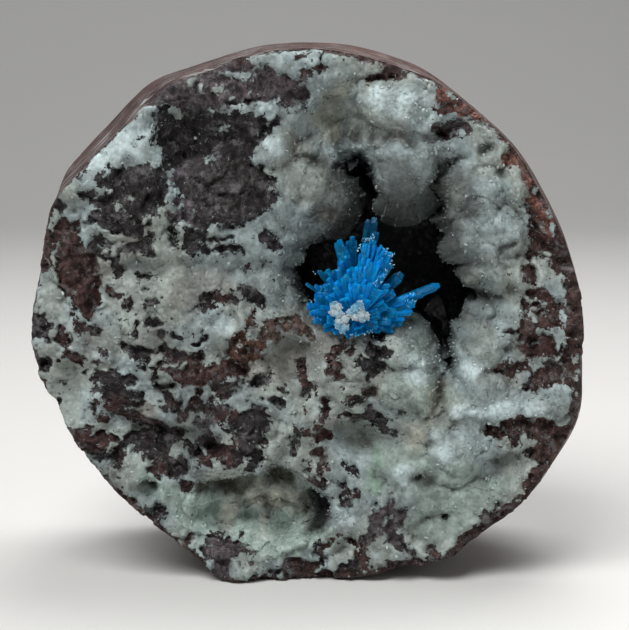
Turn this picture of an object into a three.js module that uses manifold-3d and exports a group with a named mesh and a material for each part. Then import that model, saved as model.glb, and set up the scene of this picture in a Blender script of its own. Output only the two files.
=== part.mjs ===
// Cavansite specimen: a standing piece of basalt breccia cemented by pale zeolite. Its sides are sawn
// in flat facets, its front is broken. A crystal-lined hollow opens in the front, with a spray of blue
// cavansite on its lower lip, and a smaller druse-lined pocket opens low on the left.
// Millimetres, +Z up, broken front towards -Y, origin on the foot below the middle of the stone.
import * as THREE from "three";
import { mergeVertices } from "three/addons/utils/BufferGeometryUtils.js";
import Module from "manifold-3d";

const wasm = await Module();
wasm.setup();

// ---- driving dimensions ----
const DEPTH = 34; // mean plane of the broken front to the back
const FRONT = -DEPTH / 2;
const BACK = DEPTH / 2;
const MIDDLE_HEIGHT = 31.8; // middle of the outline above the foot
const GAP = 0.3; // clearance between touching pieces
const LEAN_DEPTH = 7; // the walls lean in over this depth behind the front
const TAPER_DEPTH = 11; // the walls draw in over this depth before the back
const BACK_OVERRUN = 1;
const BACK_DOME = 2.4; // fall of the back from its middle to its edge
const FAR = 40; // beyond the stone on any side
const FACE_CELL = 1.9; // grid spacing of the broken front
const BACK_CELL = 7.5;
const LEAST_CRUST = 0.7;
const DRUSE_CELL = 3.6; // spacing of the crusts' rounded lumps
const DRUSE_HEIGHT = 1.5;
const CRUST_SEGMENTS = 72;
const POCKET_SEGMENTS = 30;

// Sawn facets: direction in degrees from +X towards +Z, distance from the middle of the outline at
// the widest section, and how much nearer the facet lies at the broken front and at the back.
const SAWN_FACETS = [
  [-90, 31.8, 0, 1.2],
  [-77.6, 32.7, 0.4, 2.0],
  [-54, 33.8, 1.2, 4.2],
  [-31.4, 34.0, 1.4, 5.4],
  [0, 32.7, 0.9, 4.6],
  [16, 31.7, 0.8, 4.8],
  [30, 31.4, 0.9, 5.2],
  [51, 31.0, 0.5, 4.4],
  [73.4, 31.6, 1.2, 5.0],
  [91, 31.6, 0.9, 5.6],
  [107.8, 31.6, 0.9, 5.0],
  [136.5, 32.3, 1.9, 6.0],
  [168, 31.8, 0.3, 4.4],
  [190, 32.4, 0, 5.2],
  [213.4, 31.0, 0, 4.4],
  [229.5, 30.9, 0, 3.4],
];

// Forms of the broken front: middle x and z, half sizes along and across, turn in degrees, height
// towards the front, and the share of the half size that the edge falls over.
const FACE_FORMS = [
  [-22.5, 51.2, 7.5, 3.2, 37, 1.3, 0.3],
  [-13.5, 52.8, 5.2, 3.4, 0, -1.9, 0.4],
  [-8.8, 46.6, 5.2, 4.2, 0, 1.3, 0.35],
  [-21, 44.8, 4.6, 3.6, 0, 0.9, 0.35],
  [-27, 37.6, 2.8, 4.6, 8, 0.9, 0.5],
  [-13, 37, 9, 1.3, 0, -1.2, 0.8],
  [-16, 33.8, 5.5, 1.6, 0, 0.9, 0.8],
  [-9.6, 30.8, 2.8, 2.6, 15, 1.1, 0.4],
  [-7, 27.2, 2.4, 1.5, 30, 1.6, 0.5],
  [-13, 25, 4.4, 1.4, -8, 1.3, 0.6],
  [-1.8, 26.6, 2.4, 2.1, 0, -2.6, 0.6],
  [-23, 22.6, 2.6, 2.2, 0, 1.1, 0.5],
  [-28.2, 22.6, 2.4, 2.6, 0, -1.2, 0.8],
  [-16.5, 17.2, 5.4, 1.5, -12, -2.0, 0.5],
  [-8.2, 17, 4.4, 3.2, 0, 1.5, 0.3],
  [-18.6, 11, 1.9, 1.4, 0, -2.4, 0.6],
  [-8.8, 2.6, 3.2, 2.6, 0, 1.3, 0.5],
  [8.8, 7, 4.4, 2.2, -60, 1.3, 0.5],
  [-28.4, 29.2, 2.6, 2.6, 0, 0.9, 0.8],
  [-3.6, 51, 2.3, 2.1, 0, 1.2, 0.7],
  [1.4, 54.6, 2.4, 3, -30, -1.2, 0.8],
  [11, 56, 4.4, 3, 0, 1.7, 0.6],
  [4.6, 51.9, 2.8, 2, 20, 0.9, 0.7],
  [16, 53.2, 2, 1.1, 0, -1.5, 0.6],
  [0.8, 46.2, 4.4, 5.2, 10, 2.4, 0.6],
  [11, 47.6, 3.9, 4.4, 0, 3.0, 0.5],
  [18.6, 50.8, 3.4, 2.2, 40, 1.5, 0.6],
  [18.4, 46.4, 3.8, 3.2, 0, 2.2, 0.5],
  [21, 40.8, 4.2, 3.8, 30, 2.4, 0.5],
  [21, 36.2, 3.4, 2.3, 30, 1.8, 0.5],
  [19.9, 31.6, 2, 2.2, 0, 1.5, 0.6],
  [19.6, 28, 3.4, 2.3, -10, 2.0, 0.5],
  [12.4, 27.4, 3.4, 2.4, 0, 2.4, 0.5],
  [12.2, 23, 3.2, 2.6, 0, 1.4, 0.6],
  [15.6, 21.6, 1.2, 3.4, -10, -1.5, 0.7],
  [20.6, 22.8, 2.6, 2.0, 0, 1.0, 0.6],
  [25, 20.6, 6.5, 1.2, 4, 1.1, 0.6],
  [5.8, 17.3, 3.6, 1.8, -8, -2.6, 0.5],
  [11, 14.6, 2.9, 2.3, 0, 1.4, 0.6],
  [17.2, 14.6, 3.4, 2.6, 0, 1.3, 0.6],
  [22.8, 13.6, 3.2, 1.8, 20, -1.4, 0.7],
  [13.6, 9.6, 2.4, 2.2, 0, 1.1, 0.6],
  [19.6, 9.2, 3.4, 2.4, 20, 1.2, 0.6],
  [15.6, 4.6, 2.6, 2.2, 0, 1.0, 0.6],
];

// The main hollow: mouth radii and crust edge radii by direction in degrees about its middle, then
// the throat behind the mouth: share kept of the mouth's own shape, distance outside it, depth.
const MAIN_HOLLOW = {
  x: 10,
  z: 37,
  mouth: [
    [0, 7.0], [20, 6.7], [40, 7.4], [52, 8.8], [60, 8.0], [70, 6.9], [85, 6.6], [95, 8.0], [104, 11],
    [112, 14], [118, 10], [130, 7.0], [145, 6.8], [160, 8.5], [170, 11], [180, 11.6], [190, 11.6],
    [205, 11.2], [225, 9.5], [245, 7.5], [270, 7.0], [286, 7.8], [298, 11.8], [308, 9.8], [318, 10.1],
    [330, 10.0], [345, 8.6],
  ],
  edge: [
    [0, 15.5], [15, 16.3], [30, 17.1], [40, 17.6], [51, 19.2], [65, 19.4], [77, 21.8], [90, 21.6],
    [104, 24], [116, 22.2], [130, 20.9], [139, 20.4], [147, 17.4], [156, 14.9], [167, 14.2],
    [180, 15.0], [190, 15.2], [201, 15.2], [213, 14.8], [226, 13.8], [247, 12.2], [258, 12], [266, 17],
    [272, 27], [278, 35], [298, 36], [306, 27.5], [312, 24], [319, 27], [325, 22], [333, 15.8],
    [347, 14.4],
  ],
  thickness: 2.6,
  dish: 4.6,
  dishReach: 3.6,
  lip: 0.8,
  throat: [[1, 0.2, 6.2], [0.85, 0.6, 8.2], [0.5, 2.2, 11.5], [0.3, 0.6, 15.6], [0.1, -3.4, 17.8]],
  floor: 18.4,
  collarSteps: 11,
  backingSteps: 3,
};

const POCKET_MOUTH = [
  [0, 8.2], [35, 5.6], [60, 4.3], [90, 4.1], [130, 4.6], [160, 7.0], [185, 8.0], [215, 5.6], [250, 4.2],
  [290, 4.2], [325, 5.6],
];
const POCKET_BORDER = 2.2; // width of the crust round the pocket's mouth
const POCKET = {
  x: -5.6,
  z: 8.8,
  mouth: POCKET_MOUTH,
  edge: POCKET_MOUTH.map(([direction, radius]) => [direction, radius + POCKET_BORDER]),
  thickness: 1.3,
  dish: 1.6,
  dishReach: 1.4,
  lip: 0.5,
  throat: [[1, -0.3, 3.0], [0.9, -0.8, 5.0], [0.8, -2.6, 6.4]],
  floor: 6.8,
  collarSteps: 2,
  backingSteps: 1,
};

// The cavansite spray: where its crystals spring from, then its main crystals as tip x, y and z,
// width and thickness.
const SPRAY_ROOT = [5.9, FRONT + 4.4, 31.9];
const SPRAY_CRYSTALS = [
  [7.5, FRONT + 3.6, 43.1, 2.0, 1.0],
  [5.3, FRONT + 2.6, 41.1, 1.6, 0.9],
  [3.5, FRONT + 2.2, 40.5, 1.9, 1.0],
  [7.6, FRONT - 0.6, 40.4, 2.3, 1.7],
  [9.5, FRONT - 0.8, 39.2, 1.9, 1.5],
  [6.4, FRONT - 1.2, 38.2, 1.9, 1.5],
  [3.4, FRONT + 0.4, 38.1, 1.6, 1.2],
  [1.9, FRONT + 1.8, 37.5, 1.6, 1.0],
  [0.9, FRONT + 2.4, 36.0, 1.2, 0.9],
  [-0.3, FRONT + 1.6, 35.2, 0.9, 0.7],
  [-0.7, FRONT + 1.2, 32.8, 1.4, 1.0],
  [0.2, FRONT + 0.6, 31.2, 1.4, 1.1],
  [11.4, FRONT + 1.4, 36.9, 1.5, 0.9],
  [15.5, FRONT + 1.2, 34.9, 1.4, 1.0],
  [12.0, FRONT + 0.2, 34.6, 1.4, 1.0],
  [12.8, FRONT + 0.8, 32.6, 1.9, 1.2],
  [11.6, FRONT + 1.6, 30.4, 2.0, 1.3],
  [9.2, FRONT - 1.0, 35.6, 1.7, 1.3],
  [6.6, FRONT - 1.8, 35.4, 1.9, 1.5],
  [3.6, FRONT - 1.2, 35.2, 1.8, 1.4],
  [1.8, FRONT - 0.6, 33.4, 1.7, 1.3],
  [9.9, FRONT - 0.8, 32.4, 1.9, 1.5],
  [8.2, FRONT - 1.4, 30.8, 1.8, 1.4],
  [5.2, FRONT - 1.2, 30.0, 1.7, 1.4],
  [2.6, FRONT - 0.4, 30.4, 1.6, 1.3],
];
const SPRAY_CORE = [3.6, 2.6, 2.6]; // half sizes of the grown-together middle
const CRYSTAL_SHOULDER = 0.84; // share of a crystal's length where its point begins
const CRYSTAL_FOOT = 0.5; // width at the root against the width at the shoulder

// Small zeolite buds on the front of the spray: x, y, z and radius.
const BUD_LUMPS = [
  [3.2, FRONT - 1.7, 33.0, 0.9],
  [4.2, FRONT - 2.0, 31.9, 1.1],
  [3.9, FRONT - 1.6, 30.7, 0.9],
  [6.0, FRONT - 2.2, 32.4, 1.2],
];

// ---- helpers ----
const rad = (degrees) => (degrees * Math.PI) / 180;
const clamp01 = (t) => Math.min(1, Math.max(0, t));
const smooth = (t) => clamp01(t) ** 2 * (3 - 2 * clamp01(t));

// A repeatable number from 0 to 1 for a lattice point.
function lattice(i, j) {
  const s = Math.sin(i * 127.1 + j * 311.7) * 43758.5453;
  return s - Math.floor(s);
}

// Smooth noise from -1 to 1, with one lattice step each period.
function noise(x, z, period) {
  const i = Math.floor(x / period);
  const j = Math.floor(z / period);
  const u = smooth(x / period - i);
  const v = smooth(z / period - j);
  const low = lattice(i, j) * (1 - u) + lattice(i + 1, j) * u;
  const high = lattice(i, j + 1) * (1 - u) + lattice(i + 1, j + 1) * u;
  return 2 * (low * (1 - v) + high * v) - 1;
}

// A closed three.js geometry as a solid for cutting and joining.
function solidOf(geometry) {
  const bare = new THREE.BufferGeometry()
    .setAttribute("position", geometry.getAttribute("position"))
    .setIndex(geometry.index);
  const merged = mergeVertices(bare, 1e-4);
  return new wasm.Manifold(
    new wasm.Mesh({
      numProp: 3,
      vertProperties: merged.attributes.position.array,
      triVerts: new Uint32Array(merged.index.array),
    }),
  );
}

function geometryOf(solid) {
  const mesh = solid.getMesh();
  return new THREE.BufferGeometry()
    .setAttribute("position", new THREE.BufferAttribute(mesh.vertProperties, 3))
    .setIndex(new THREE.BufferAttribute(mesh.triVerts, 1));
}

// A closed surface from rings of equal length, with a point closing each end.
function ringGeometry(start, rings, end) {
  const points = [start, ...rings.flat(), end];
  const count = rings[0].length;
  const last = points.length - 1;
  const faces = [];
  for (let i = 0; i < count; i++) {
    const next = (i + 1) % count;
    faces.push(0, 1 + i, 1 + next);
    for (let r = 0; r + 1 < rings.length; r++) {
      const a = 1 + r * count;
      const b = a + count;
      faces.push(a + i, b + i, a + next, a + next, b + i, b + next);
    }
    const a = 1 + (rings.length - 1) * count;
    faces.push(a + i, last, a + next);
  }
  return new THREE.BufferGeometry()
    .setAttribute("position", new THREE.BufferAttribute(new Float32Array(points.flat()), 3))
    .setIndex(faces);
}

// ---- the sawn outline ----

// Corners of the outline where neighbouring facets meet, drawn in by shares of each facet's lean
// towards the front and taper towards the back, and by an even margin.
function outline(lean, taper, margin) {
  const reach = SAWN_FACETS.map(
    ([, distance, atFront, atBack]) => distance - lean * atFront - taper * atBack - margin,
  );
  return SAWN_FACETS.map(([direction], i) => {
    const j = (i + 1) % SAWN_FACETS.length;
    const a = rad(direction);
    const b = rad(SAWN_FACETS[j][0]);
    const cross = Math.sin(b - a);
    const x = (reach[i] * Math.sin(b) - reach[j] * Math.sin(a)) / cross;
    const z = (reach[j] * Math.cos(a) - reach[i] * Math.cos(b)) / cross;
    return [x, z + MIDDLE_HEIGHT];
  });
}

// The block inside the sawn facets. It runs on past the front and back that are broken out of it.
function sawnBlock(margin = 0) {
  const ring = (y, lean, taper) => outline(lean, taper, margin).map(([x, z]) => [x, y, z]);
  const front = FRONT - LEAN_DEPTH;
  const back = BACK + BACK_OVERRUN;
  const rings = [
    ring(front, 2, 0),
    ring(FRONT + LEAN_DEPTH, 0, 0),
    ring(BACK - TAPER_DEPTH, 0, 0),
    ring(back, 0, 1 + BACK_OVERRUN / TAPER_DEPTH),
  ];
  return solidOf(ringGeometry([0, front, MIDDLE_HEIGHT], rings, [0, back, MIDDLE_HEIGHT]));
}

// ---- the broken front and back ----

function formHeight([cx, cz, along, across, turn, height, edge], x, z) {
  const c = Math.cos(rad(turn));
  const s = Math.sin(rad(turn));
  const u = ((x - cx) * c + (z - cz) * s) / along;
  const v = ((z - cz) * c - (x - cx) * s) / across;
  return height * (1 - smooth((Math.hypot(u, v) - 1 + edge) / (2 * edge)));
}

const relief = (x, z) => FACE_FORMS.reduce((sum, form) => sum + formHeight(form, x, z), 0);
const roughness = (x, z) => 0.7 * noise(x, z, 5.2) + 0.55 * noise(x + 17, z, 2.9);
const frontAt = (x, z) => FRONT - relief(x, z) - roughness(x, z);

function backAt(x, z) {
  const out = Math.hypot(x, z - MIDDLE_HEIGHT) / MIDDLE_HEIGHT;
  const rough = 0.7 * (noise(x + 5, z + 3, 9) - 1);
  return BACK - BACK_DOME * smooth(out - 0.2) + rough * smooth(2 * out);
}

// Height from 0 to 1 of a crust of rounded lumps, one in each lattice cell, off its middle.
function druse(x, z) {
  const i = Math.floor(x / DRUSE_CELL);
  const j = Math.floor(z / DRUSE_CELL);
  let height = 0;
  for (let a = i - 1; a <= i + 1; a++)
    for (let b = j - 1; b <= j + 1; b++) {
      const dx = x / DRUSE_CELL - a - 0.2 - 0.6 * lattice(a, b);
      const dz = z / DRUSE_CELL - b - 0.2 - 0.6 * lattice(b + 31, a);
      const size = 0.55 + 0.3 * lattice(a + 7, b + 3);
      height = Math.max(height, 1.2 * size * Math.sqrt(Math.max(0, 1 - (dx * dx + dz * dz) / size ** 2)));
    }
  return height;
}

// The space on the +Y side of a height surface when side is 1, or on its -Y side when side is -1.
function heightBlock(heightAt, cell, side) {
  const steps = Math.ceil((2 * FAR) / cell);
  const at = (i) => -FAR + (2 * FAR * i) / steps;
  const points = [];
  const faces = [];
  const quad = (a, b, c, d) => faces.push(a, b, c, a, c, d);
  for (let j = 0; j <= steps; j++)
    for (let i = 0; i <= steps; i++) {
      const x = at(i);
      const z = at(j) + MIDDLE_HEIGHT;
      points.push(x, side * heightAt(x, z), z, x, 2 * FAR, z);
    }
  const near = (i, j) => 2 * (j * (steps + 1) + i);
  const far = (i, j) => near(i, j) + 1;
  for (let j = 0; j < steps; j++)
    for (let i = 0; i < steps; i++) {
      quad(near(i, j), near(i + 1, j), near(i + 1, j + 1), near(i, j + 1));
      quad(far(i, j), far(i, j + 1), far(i + 1, j + 1), far(i + 1, j));
    }
  for (let i = 0; i < steps; i++) {
    quad(near(i, 0), far(i, 0), far(i + 1, 0), near(i + 1, 0));
    quad(near(i, steps), near(i + 1, steps), far(i + 1, steps), far(i, steps));
    quad(near(0, i), near(0, i + 1), far(0, i + 1), far(0, i));
    quad(near(steps, i), far(steps, i), far(steps, i + 1), near(steps, i + 1));
  }
  const geometry = new THREE.BufferGeometry()
    .setAttribute("position", new THREE.BufferAttribute(new Float32Array(points), 3))
    .setIndex(faces);
  const block = solidOf(geometry);
  return side === 1 ? block : block.mirror([0, 1, 0]);
}

// ---- hollows and their crusts ----

// Radius at a direction, eased between the listed ones.
function radiusAt(list, degrees) {
  const at = list.findIndex(([direction]) => direction > degrees);
  const high = at < 0 ? [list[0][0] + 360, list[0][1]] : list[at];
  const low = list[(at < 0 ? list.length : at) - 1];
  return low[1] + (high[1] - low[1]) * smooth((degrees - low[0]) / (high[0] - low[0]));
}

// The widest radius of a list within a window of directions.
function widest(list, degrees, window) {
  const at = (turn) => radiusAt(list, (degrees + turn + 360) % 360) * Math.cos(rad(turn));
  return Math.max(...[-1, -0.75, -0.5, -0.25, 0, 0.25, 0.5, 0.75, 1].map((share) => at(share * window)));
}

// A hollow is lined by three surfaces: the crust's outside, its back, and the wall of the room that
// the stone leaves for it. Each is wider than the last, and smoother.
const OUTSIDE = { window: 0, edgeWindow: 0, out: 0, gap: 0, steps: "collarSteps" };
const INSIDE = { window: 12, edgeWindow: 0, out: 1, gap: 0, steps: "backingSteps" };
const ROOM = { window: 15, edgeWindow: 1.5, out: 1, gap: 1.5 * GAP, steps: "backingSteps" };

// Stations from the crust's edge over the mouth and down to the floor of a hollow: distance from its
// middle, depth behind the front plane, and the share of the front's forms that it carries.
function stations(hollow, degrees, surface) {
  const out = surface.out * hollow.thickness;
  const mouth = widest(hollow.mouth, degrees, surface.window) + out + surface.gap;
  const edge = widest(hollow.edge, degrees, surface.edgeWindow) + surface.gap;
  const mean = hollow.mouth.reduce((sum, [, r]) => sum + r, 0) / hollow.mouth.length + out + surface.gap;
  const lip = Math.min(mouth + hollow.lip, edge - 0.1);
  const steps = hollow[surface.steps];
  const list = [];
  for (let i = 0; i < steps; i++) {
    const radius = edge + (lip - edge) * (i / steps);
    const dish = hollow.dish * Math.exp(-(radius - mouth) / hollow.dishReach);
    list.push([radius, Math.min(dish, hollow.throat[0][2] - 0.3), 1]);
  }
  hollow.throat.forEach(([own, flare, depth], i) => {
    list.push([own * mouth + (1 - own) * mean + flare, depth, 0.5 ** (i + 1)]);
  });
  return list;
}

function hollowRings(hollow, segments, surface) {
  const cover = surface === OUTSIDE ? 0 : hollow.thickness + surface.gap;
  const rings = [];
  for (let k = 0; k < segments; k++) {
    const degrees = (360 * k) / segments;
    stations(hollow, degrees, surface).forEach(([radius, depth, share], r) => {
      const x = hollow.x + radius * Math.cos(rad(degrees));
      const z = hollow.z + radius * Math.sin(rad(degrees));
      const proud = relief(x, z) + roughness(x, z) + DRUSE_HEIGHT * (druse(x, z) - 0.5);
      const fall = Math.min(-share * proud, hollow.thickness - LEAST_CRUST);
      rings[r] ??= [];
      rings[r].push([x, FRONT + depth + (surface === OUTSIDE ? fall : cover), z]);
    });
  }
  return rings;
}

// The crust: its outside from the floor of the hollow out to its edge, then back along its inside.
function crustSolid(hollow, segments) {
  const outside = hollowRings(hollow, segments, OUTSIDE).reverse();
  const inside = hollowRings(hollow, segments, INSIDE);
  const floor = [hollow.x, FRONT + hollow.floor, hollow.z];
  const deep = [hollow.x, FRONT + hollow.floor + hollow.thickness, hollow.z];
  return solidOf(ringGeometry(floor, [...outside, ...inside], deep));
}

// The room for a crust, open to the front.
function roomSolid(hollow, segments) {
  const wall = hollowRings(hollow, segments, ROOM);
  const mouth = wall[0].map(([x, , z]) => [x, -FAR, z]);
  const deep = [hollow.x, FRONT + hollow.floor + hollow.thickness + ROOM.gap, hollow.z];
  return solidOf(ringGeometry([hollow.x, -FAR, hollow.z], [mouth, ...wall], deep));
}

// ---- crystals ----

// A flattened six-sided crystal with a roof-like point, from a root to a tip.
function crystal(root, tip, width, thickness) {
  const from = new THREE.Vector3(...root);
  const to = new THREE.Vector3(...tip);
  const along = to.clone().sub(from);
  const side = new THREE.Vector3(0, 1, 0).cross(along).normalize();
  const face = side.clone().cross(along).normalize();
  const section = (share, scale) => {
    const middle = from.clone().addScaledVector(along, share);
    return [[0.5, 0.14], [0.26, 0.5], [-0.26, 0.5], [-0.5, -0.14], [-0.26, -0.5], [0.26, -0.5]].map(([u, v]) =>
      middle
        .clone()
        .addScaledVector(side, u * width * scale)
        .addScaledVector(face, v * thickness * scale)
        .toArray(),
    );
  };
  const rings = [section(0, CRYSTAL_FOOT), section(CRYSTAL_SHOULDER, 1), section(0.96, 0.45)];
  const made = solidOf(ringGeometry(root, rings, tip));
  return made.volume() < 0 ? solidOf(ringGeometry(root, rings.map((ring) => ring.reverse()), tip)) : made;
}

// A lumpy ball.
function lump([x, y, z, radius], stretch = [1, 1, 1]) {
  const ball = new THREE.IcosahedronGeometry(radius, 1);
  ball.deleteAttribute("normal");
  ball.deleteAttribute("uv");
  return solidOf(mergeVertices(ball.scale(...stretch).translate(x, y, z)));
}

const joined = (solids) => solids.reduce((all, solid) => all.add(solid));
const largest = (solid) => solid.decompose().sort((a, b) => b.volume() - a.volume())[0];

// A solid with room cut in it for a neighbour, GAP wide on every side that faces it.
function clearOf(solid, neighbour) {
  const shifts = [[0, 0, 0], [GAP, 0, 0], [-GAP, 0, 0], [0, -GAP, 0], [0, GAP, 0], [0, 0, GAP], [0, 0, -GAP]];
  return shifts.reduce((rest, shift) => rest.subtract(neighbour.translate(shift)), solid);
}

// ---- the pieces ----
const stone = sawnBlock()
  .intersect(heightBlock(frontAt, FACE_CELL, 1))
  .intersect(heightBlock(backAt, BACK_CELL, -1));
const matrix = largest(
  stone.subtract(roomSolid(MAIN_HOLLOW, CRUST_SEGMENTS)).subtract(roomSolid(POCKET, POCKET_SEGMENTS)),
);
const vugCrust = largest(crustSolid(MAIN_HOLLOW, CRUST_SEGMENTS).intersect(sawnBlock(0.1)));
const pocketCrust = largest(crustSolid(POCKET, POCKET_SEGMENTS));
const bud = joined(BUD_LUMPS.map((row) => lump(row)));
const core = lump([...SPRAY_ROOT, 1], SPRAY_CORE);
const crystals = SPRAY_CRYSTALS.map(([x, y, z, width, thickness]) =>
  crystal(SPRAY_ROOT, [x, y, z], width, thickness),
);
const spray = [matrix, vugCrust, bud].reduce(clearOf, joined([core, ...crystals]));

const FINISHES = {
  basalt_matrix: { color: 0x4a3a37, roughness: 0.75, metalness: 0 },
  druse: { color: 0xbcc8c1, roughness: 0.45, metalness: 0 },
  cavansite: { color: 0x0a6cc8, roughness: 0.2, metalness: 0 },
  bud: { color: 0xd9d6cf, roughness: 0.5, metalness: 0 },
};

function piece(name, solid, finish) {
  const mesh = new THREE.Mesh(geometryOf(solid), new THREE.MeshStandardMaterial(FINISHES[finish]));
  mesh.name = name;
  return mesh;
}

const specimen = new THREE.Group();
specimen.add(
  piece("basalt_matrix", matrix, "basalt_matrix"),
  piece("vug_crust", vugCrust, "druse"),
  piece("pocket_crust", pocketCrust, "druse"),
  piece("cavansite_spray", largest(spray), "cavansite"),
  piece("zeolite_bud", bud, "bud"),
);
const box = new THREE.Box3().setFromObject(specimen);
const middle = box.getCenter(new THREE.Vector3());
specimen.position.set(-middle.x, -middle.y, -box.min.z);

export default specimen;
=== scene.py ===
import math

import bpy
import numpy as np
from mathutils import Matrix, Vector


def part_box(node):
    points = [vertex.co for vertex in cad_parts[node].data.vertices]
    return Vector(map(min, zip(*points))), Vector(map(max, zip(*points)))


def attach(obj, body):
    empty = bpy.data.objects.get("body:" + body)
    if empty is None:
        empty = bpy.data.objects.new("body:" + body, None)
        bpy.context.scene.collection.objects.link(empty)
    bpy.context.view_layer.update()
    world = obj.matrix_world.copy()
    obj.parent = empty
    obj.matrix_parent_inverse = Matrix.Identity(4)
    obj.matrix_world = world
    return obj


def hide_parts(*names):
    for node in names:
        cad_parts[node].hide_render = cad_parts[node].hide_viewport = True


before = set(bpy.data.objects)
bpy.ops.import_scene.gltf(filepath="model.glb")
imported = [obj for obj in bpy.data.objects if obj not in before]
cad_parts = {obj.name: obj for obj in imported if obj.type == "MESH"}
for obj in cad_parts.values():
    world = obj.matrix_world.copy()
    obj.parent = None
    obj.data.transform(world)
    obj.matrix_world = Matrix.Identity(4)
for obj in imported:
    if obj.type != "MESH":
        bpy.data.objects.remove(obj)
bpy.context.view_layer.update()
print("frame loaded")

# Shapes are worked out in millimetres: x from the stone's middle, depth behind the mean plane of the
# broken front, z above the foot.
layout = {
    "depth": 34.0,  # mean front plane to the back
    "backRecess": 0.21,  # the back's proudest point stops this far short of the full depth
    "midHeight": 31.8,  # middle of the outline
    "proudest": 3.3,  # nothing on the face stands further forward
}
stoneLow, stoneHigh = (np.array(corner) * 1000 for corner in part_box("basalt_matrix"))
midX = (stoneLow[0] + stoneHigh[0]) / 2
frontY = stoneHigh[1] + layout["backRecess"] - layout["depth"]


# Into the frame, in metres: x from the solid's middle, depth from its front plane, z from its foot.
def placed(x, depth, z):
    return np.stack([x + midX, depth + frontY, z + stoneLow[2]], -1) / 1000


# Odd factors that mix lattice indices and a seed into a number.
mixing = {"index": (73856093, 19349663, 83492791), "seed": 2654435761, "fold": (2246822519, 3266489917)}


# Repeatable numbers from 0 to 1: three lattice indices and a seed multiplied, mixed and folded.
def hashed(i, j, k, seed):
    a, b, c = mixing["index"]
    n = ((i * a) ^ (j * b) ^ (k * c)).astype(np.uint32)
    n = n + np.uint32((seed * mixing["seed"]) & 0xFFFFFFFF)
    for factor in mixing["fold"]:
        n = (n ^ (n >> np.uint32(15))) * np.uint32(factor)
    return (n ^ (n >> np.uint32(16))) / 4294967296.0


# Smooth step: 3t squared less 2t cubed, held between 0 and 1.
def ease(t):
    t = np.clip(t, 0, 1)
    return t * t * (3 - 2 * t)


# From a towards b by a share, one share for each row.
def blend(a, b, share):
    return a + share[:, None] * (np.array(b) - a)


# Value noise from -1 to 1: lattice numbers eased between the eight corners of a cell.
def softNoise(p, period, seed=0):
    q = p / period
    cell = np.floor(q).astype(np.int64)
    f = ease(q - cell)
    total = np.zeros(len(p))
    for a in (0, 1):
        for b in (0, 1):
            for c in (0, 1):
                share = np.abs(1 - a - f[:, 0]) * np.abs(1 - b - f[:, 1]) * np.abs(1 - c - f[:, 2])
                total += share * hashed(cell[:, 0] + a, cell[:, 1] + b, cell[:, 2] + c, seed)
    return 2 * total - 1


# Soft noises added up, each with half the period and 0.55 of the height of the last.
def rough(p, period, octaves=3, seed=0):
    return sum(softNoise(p, period / 2**n, seed + 7 * n) * 0.55**n for n in range(octaves))


# Points on the face's plane, pushed back by a depth.
def onFace(x, z, deep=0):
    return np.stack([x, 0 * x + deep, z], -1)


# Grains packed at random, one in each cell: distance to the nearest grain's middle in grain sizes, its
# three random numbers, and the way from its middle.
def grains(p, size, seed=0):
    q = p / size
    cell = np.floor(q).astype(np.int64)
    near = np.full(len(p), 9.0)
    numbers = np.zeros((len(p), 3))
    way = np.zeros((len(p), 3))
    for a in (-1, 0, 1):
        for b in (-1, 0, 1):
            for c in (-1, 0, 1):
                i, j, k = cell[:, 0] + a, cell[:, 1] + b, cell[:, 2] + c
                draw = np.stack([hashed(i, j, k, seed + s) for s in (11, 23, 37)], -1)
                to = q - (np.stack([i, j, k], -1) + 0.1 + 0.8 * draw)
                far = np.sqrt((to**2).sum(1))
                closer = far < near
                near = np.where(closer, far, near)
                numbers = np.where(closer[:, None], draw, numbers)
                way = np.where(closer[:, None], to, way)
    return near, numbers, way


# Rounded grains: a dome over each grain's middle, 0 in the joints to 1 on top.
def knobs(p, size, seed=0):
    near, numbers, _ = grains(p, size, seed)
    return np.clip(1 - (near / (0.72 + 0.35 * numbers[:, 0])) ** 2, 0, 1) ** 0.7


# Broken faces: each grain is a plane with its own tilt and level, about -1 to 1.
def splinters(p, size, seed=0):
    _, numbers, way = grains(p, size, seed)
    return ((numbers - 0.5) * way).sum(1) * 2.6 + (numbers[:, 1] - 0.5) * 0.7


# How far inside a set of strokes a place lies, in mm: for each leg of a stroke its half width, eased
# between the two ends, less the distance to its line. The deepest leg counts.
def strokeDepth(x, z, strokes):
    best = np.full(len(x), -9.0)
    for stroke in strokes:
        for (ax, az, ar), (bx, bz, br) in zip(stroke, stroke[1:] or stroke):
            dx, dz = bx - ax, bz - az
            along = np.clip(((x - ax) * dx + (z - az) * dz) / (dx * dx + dz * dz + 1e-9), 0, 1)
            away = np.hypot(x - ax - dx * along, z - az - dz * along)
            best = np.maximum(best, ar + (br - ar) * along - away)
    return best


# Turned and stretched distance from a form's middle: 1 on its outline.
def formReach(x, z, row):
    cx, cz, along, across, turn = row[:5]
    c, s = math.cos(math.radians(turn)), math.sin(math.radians(turn))
    return np.hypot(((x - cx) * c + (z - cz) * s) / along, ((z - cz) * c - (x - cx) * s) / across)


# Plates, raised or sunk: level inside, falling by a smooth step over the edge's share. They add up.
def plateHeight(x, z, rows):
    return sum(row[5] * (1 - ease((formReach(x, z, row) - 1 + row[6]) / (2 * row[6]))) for row in rows)


# Lobes: domes melted together by the fifth root of the sum of their fifth powers.
def lobeHeight(x, z, rows):
    domes = (row[5] * np.clip(1 - formReach(x, z, row) ** 2, 0, 1) ** 0.6 for row in rows)
    return sum(dome**5 for dome in domes) ** 0.2


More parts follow.
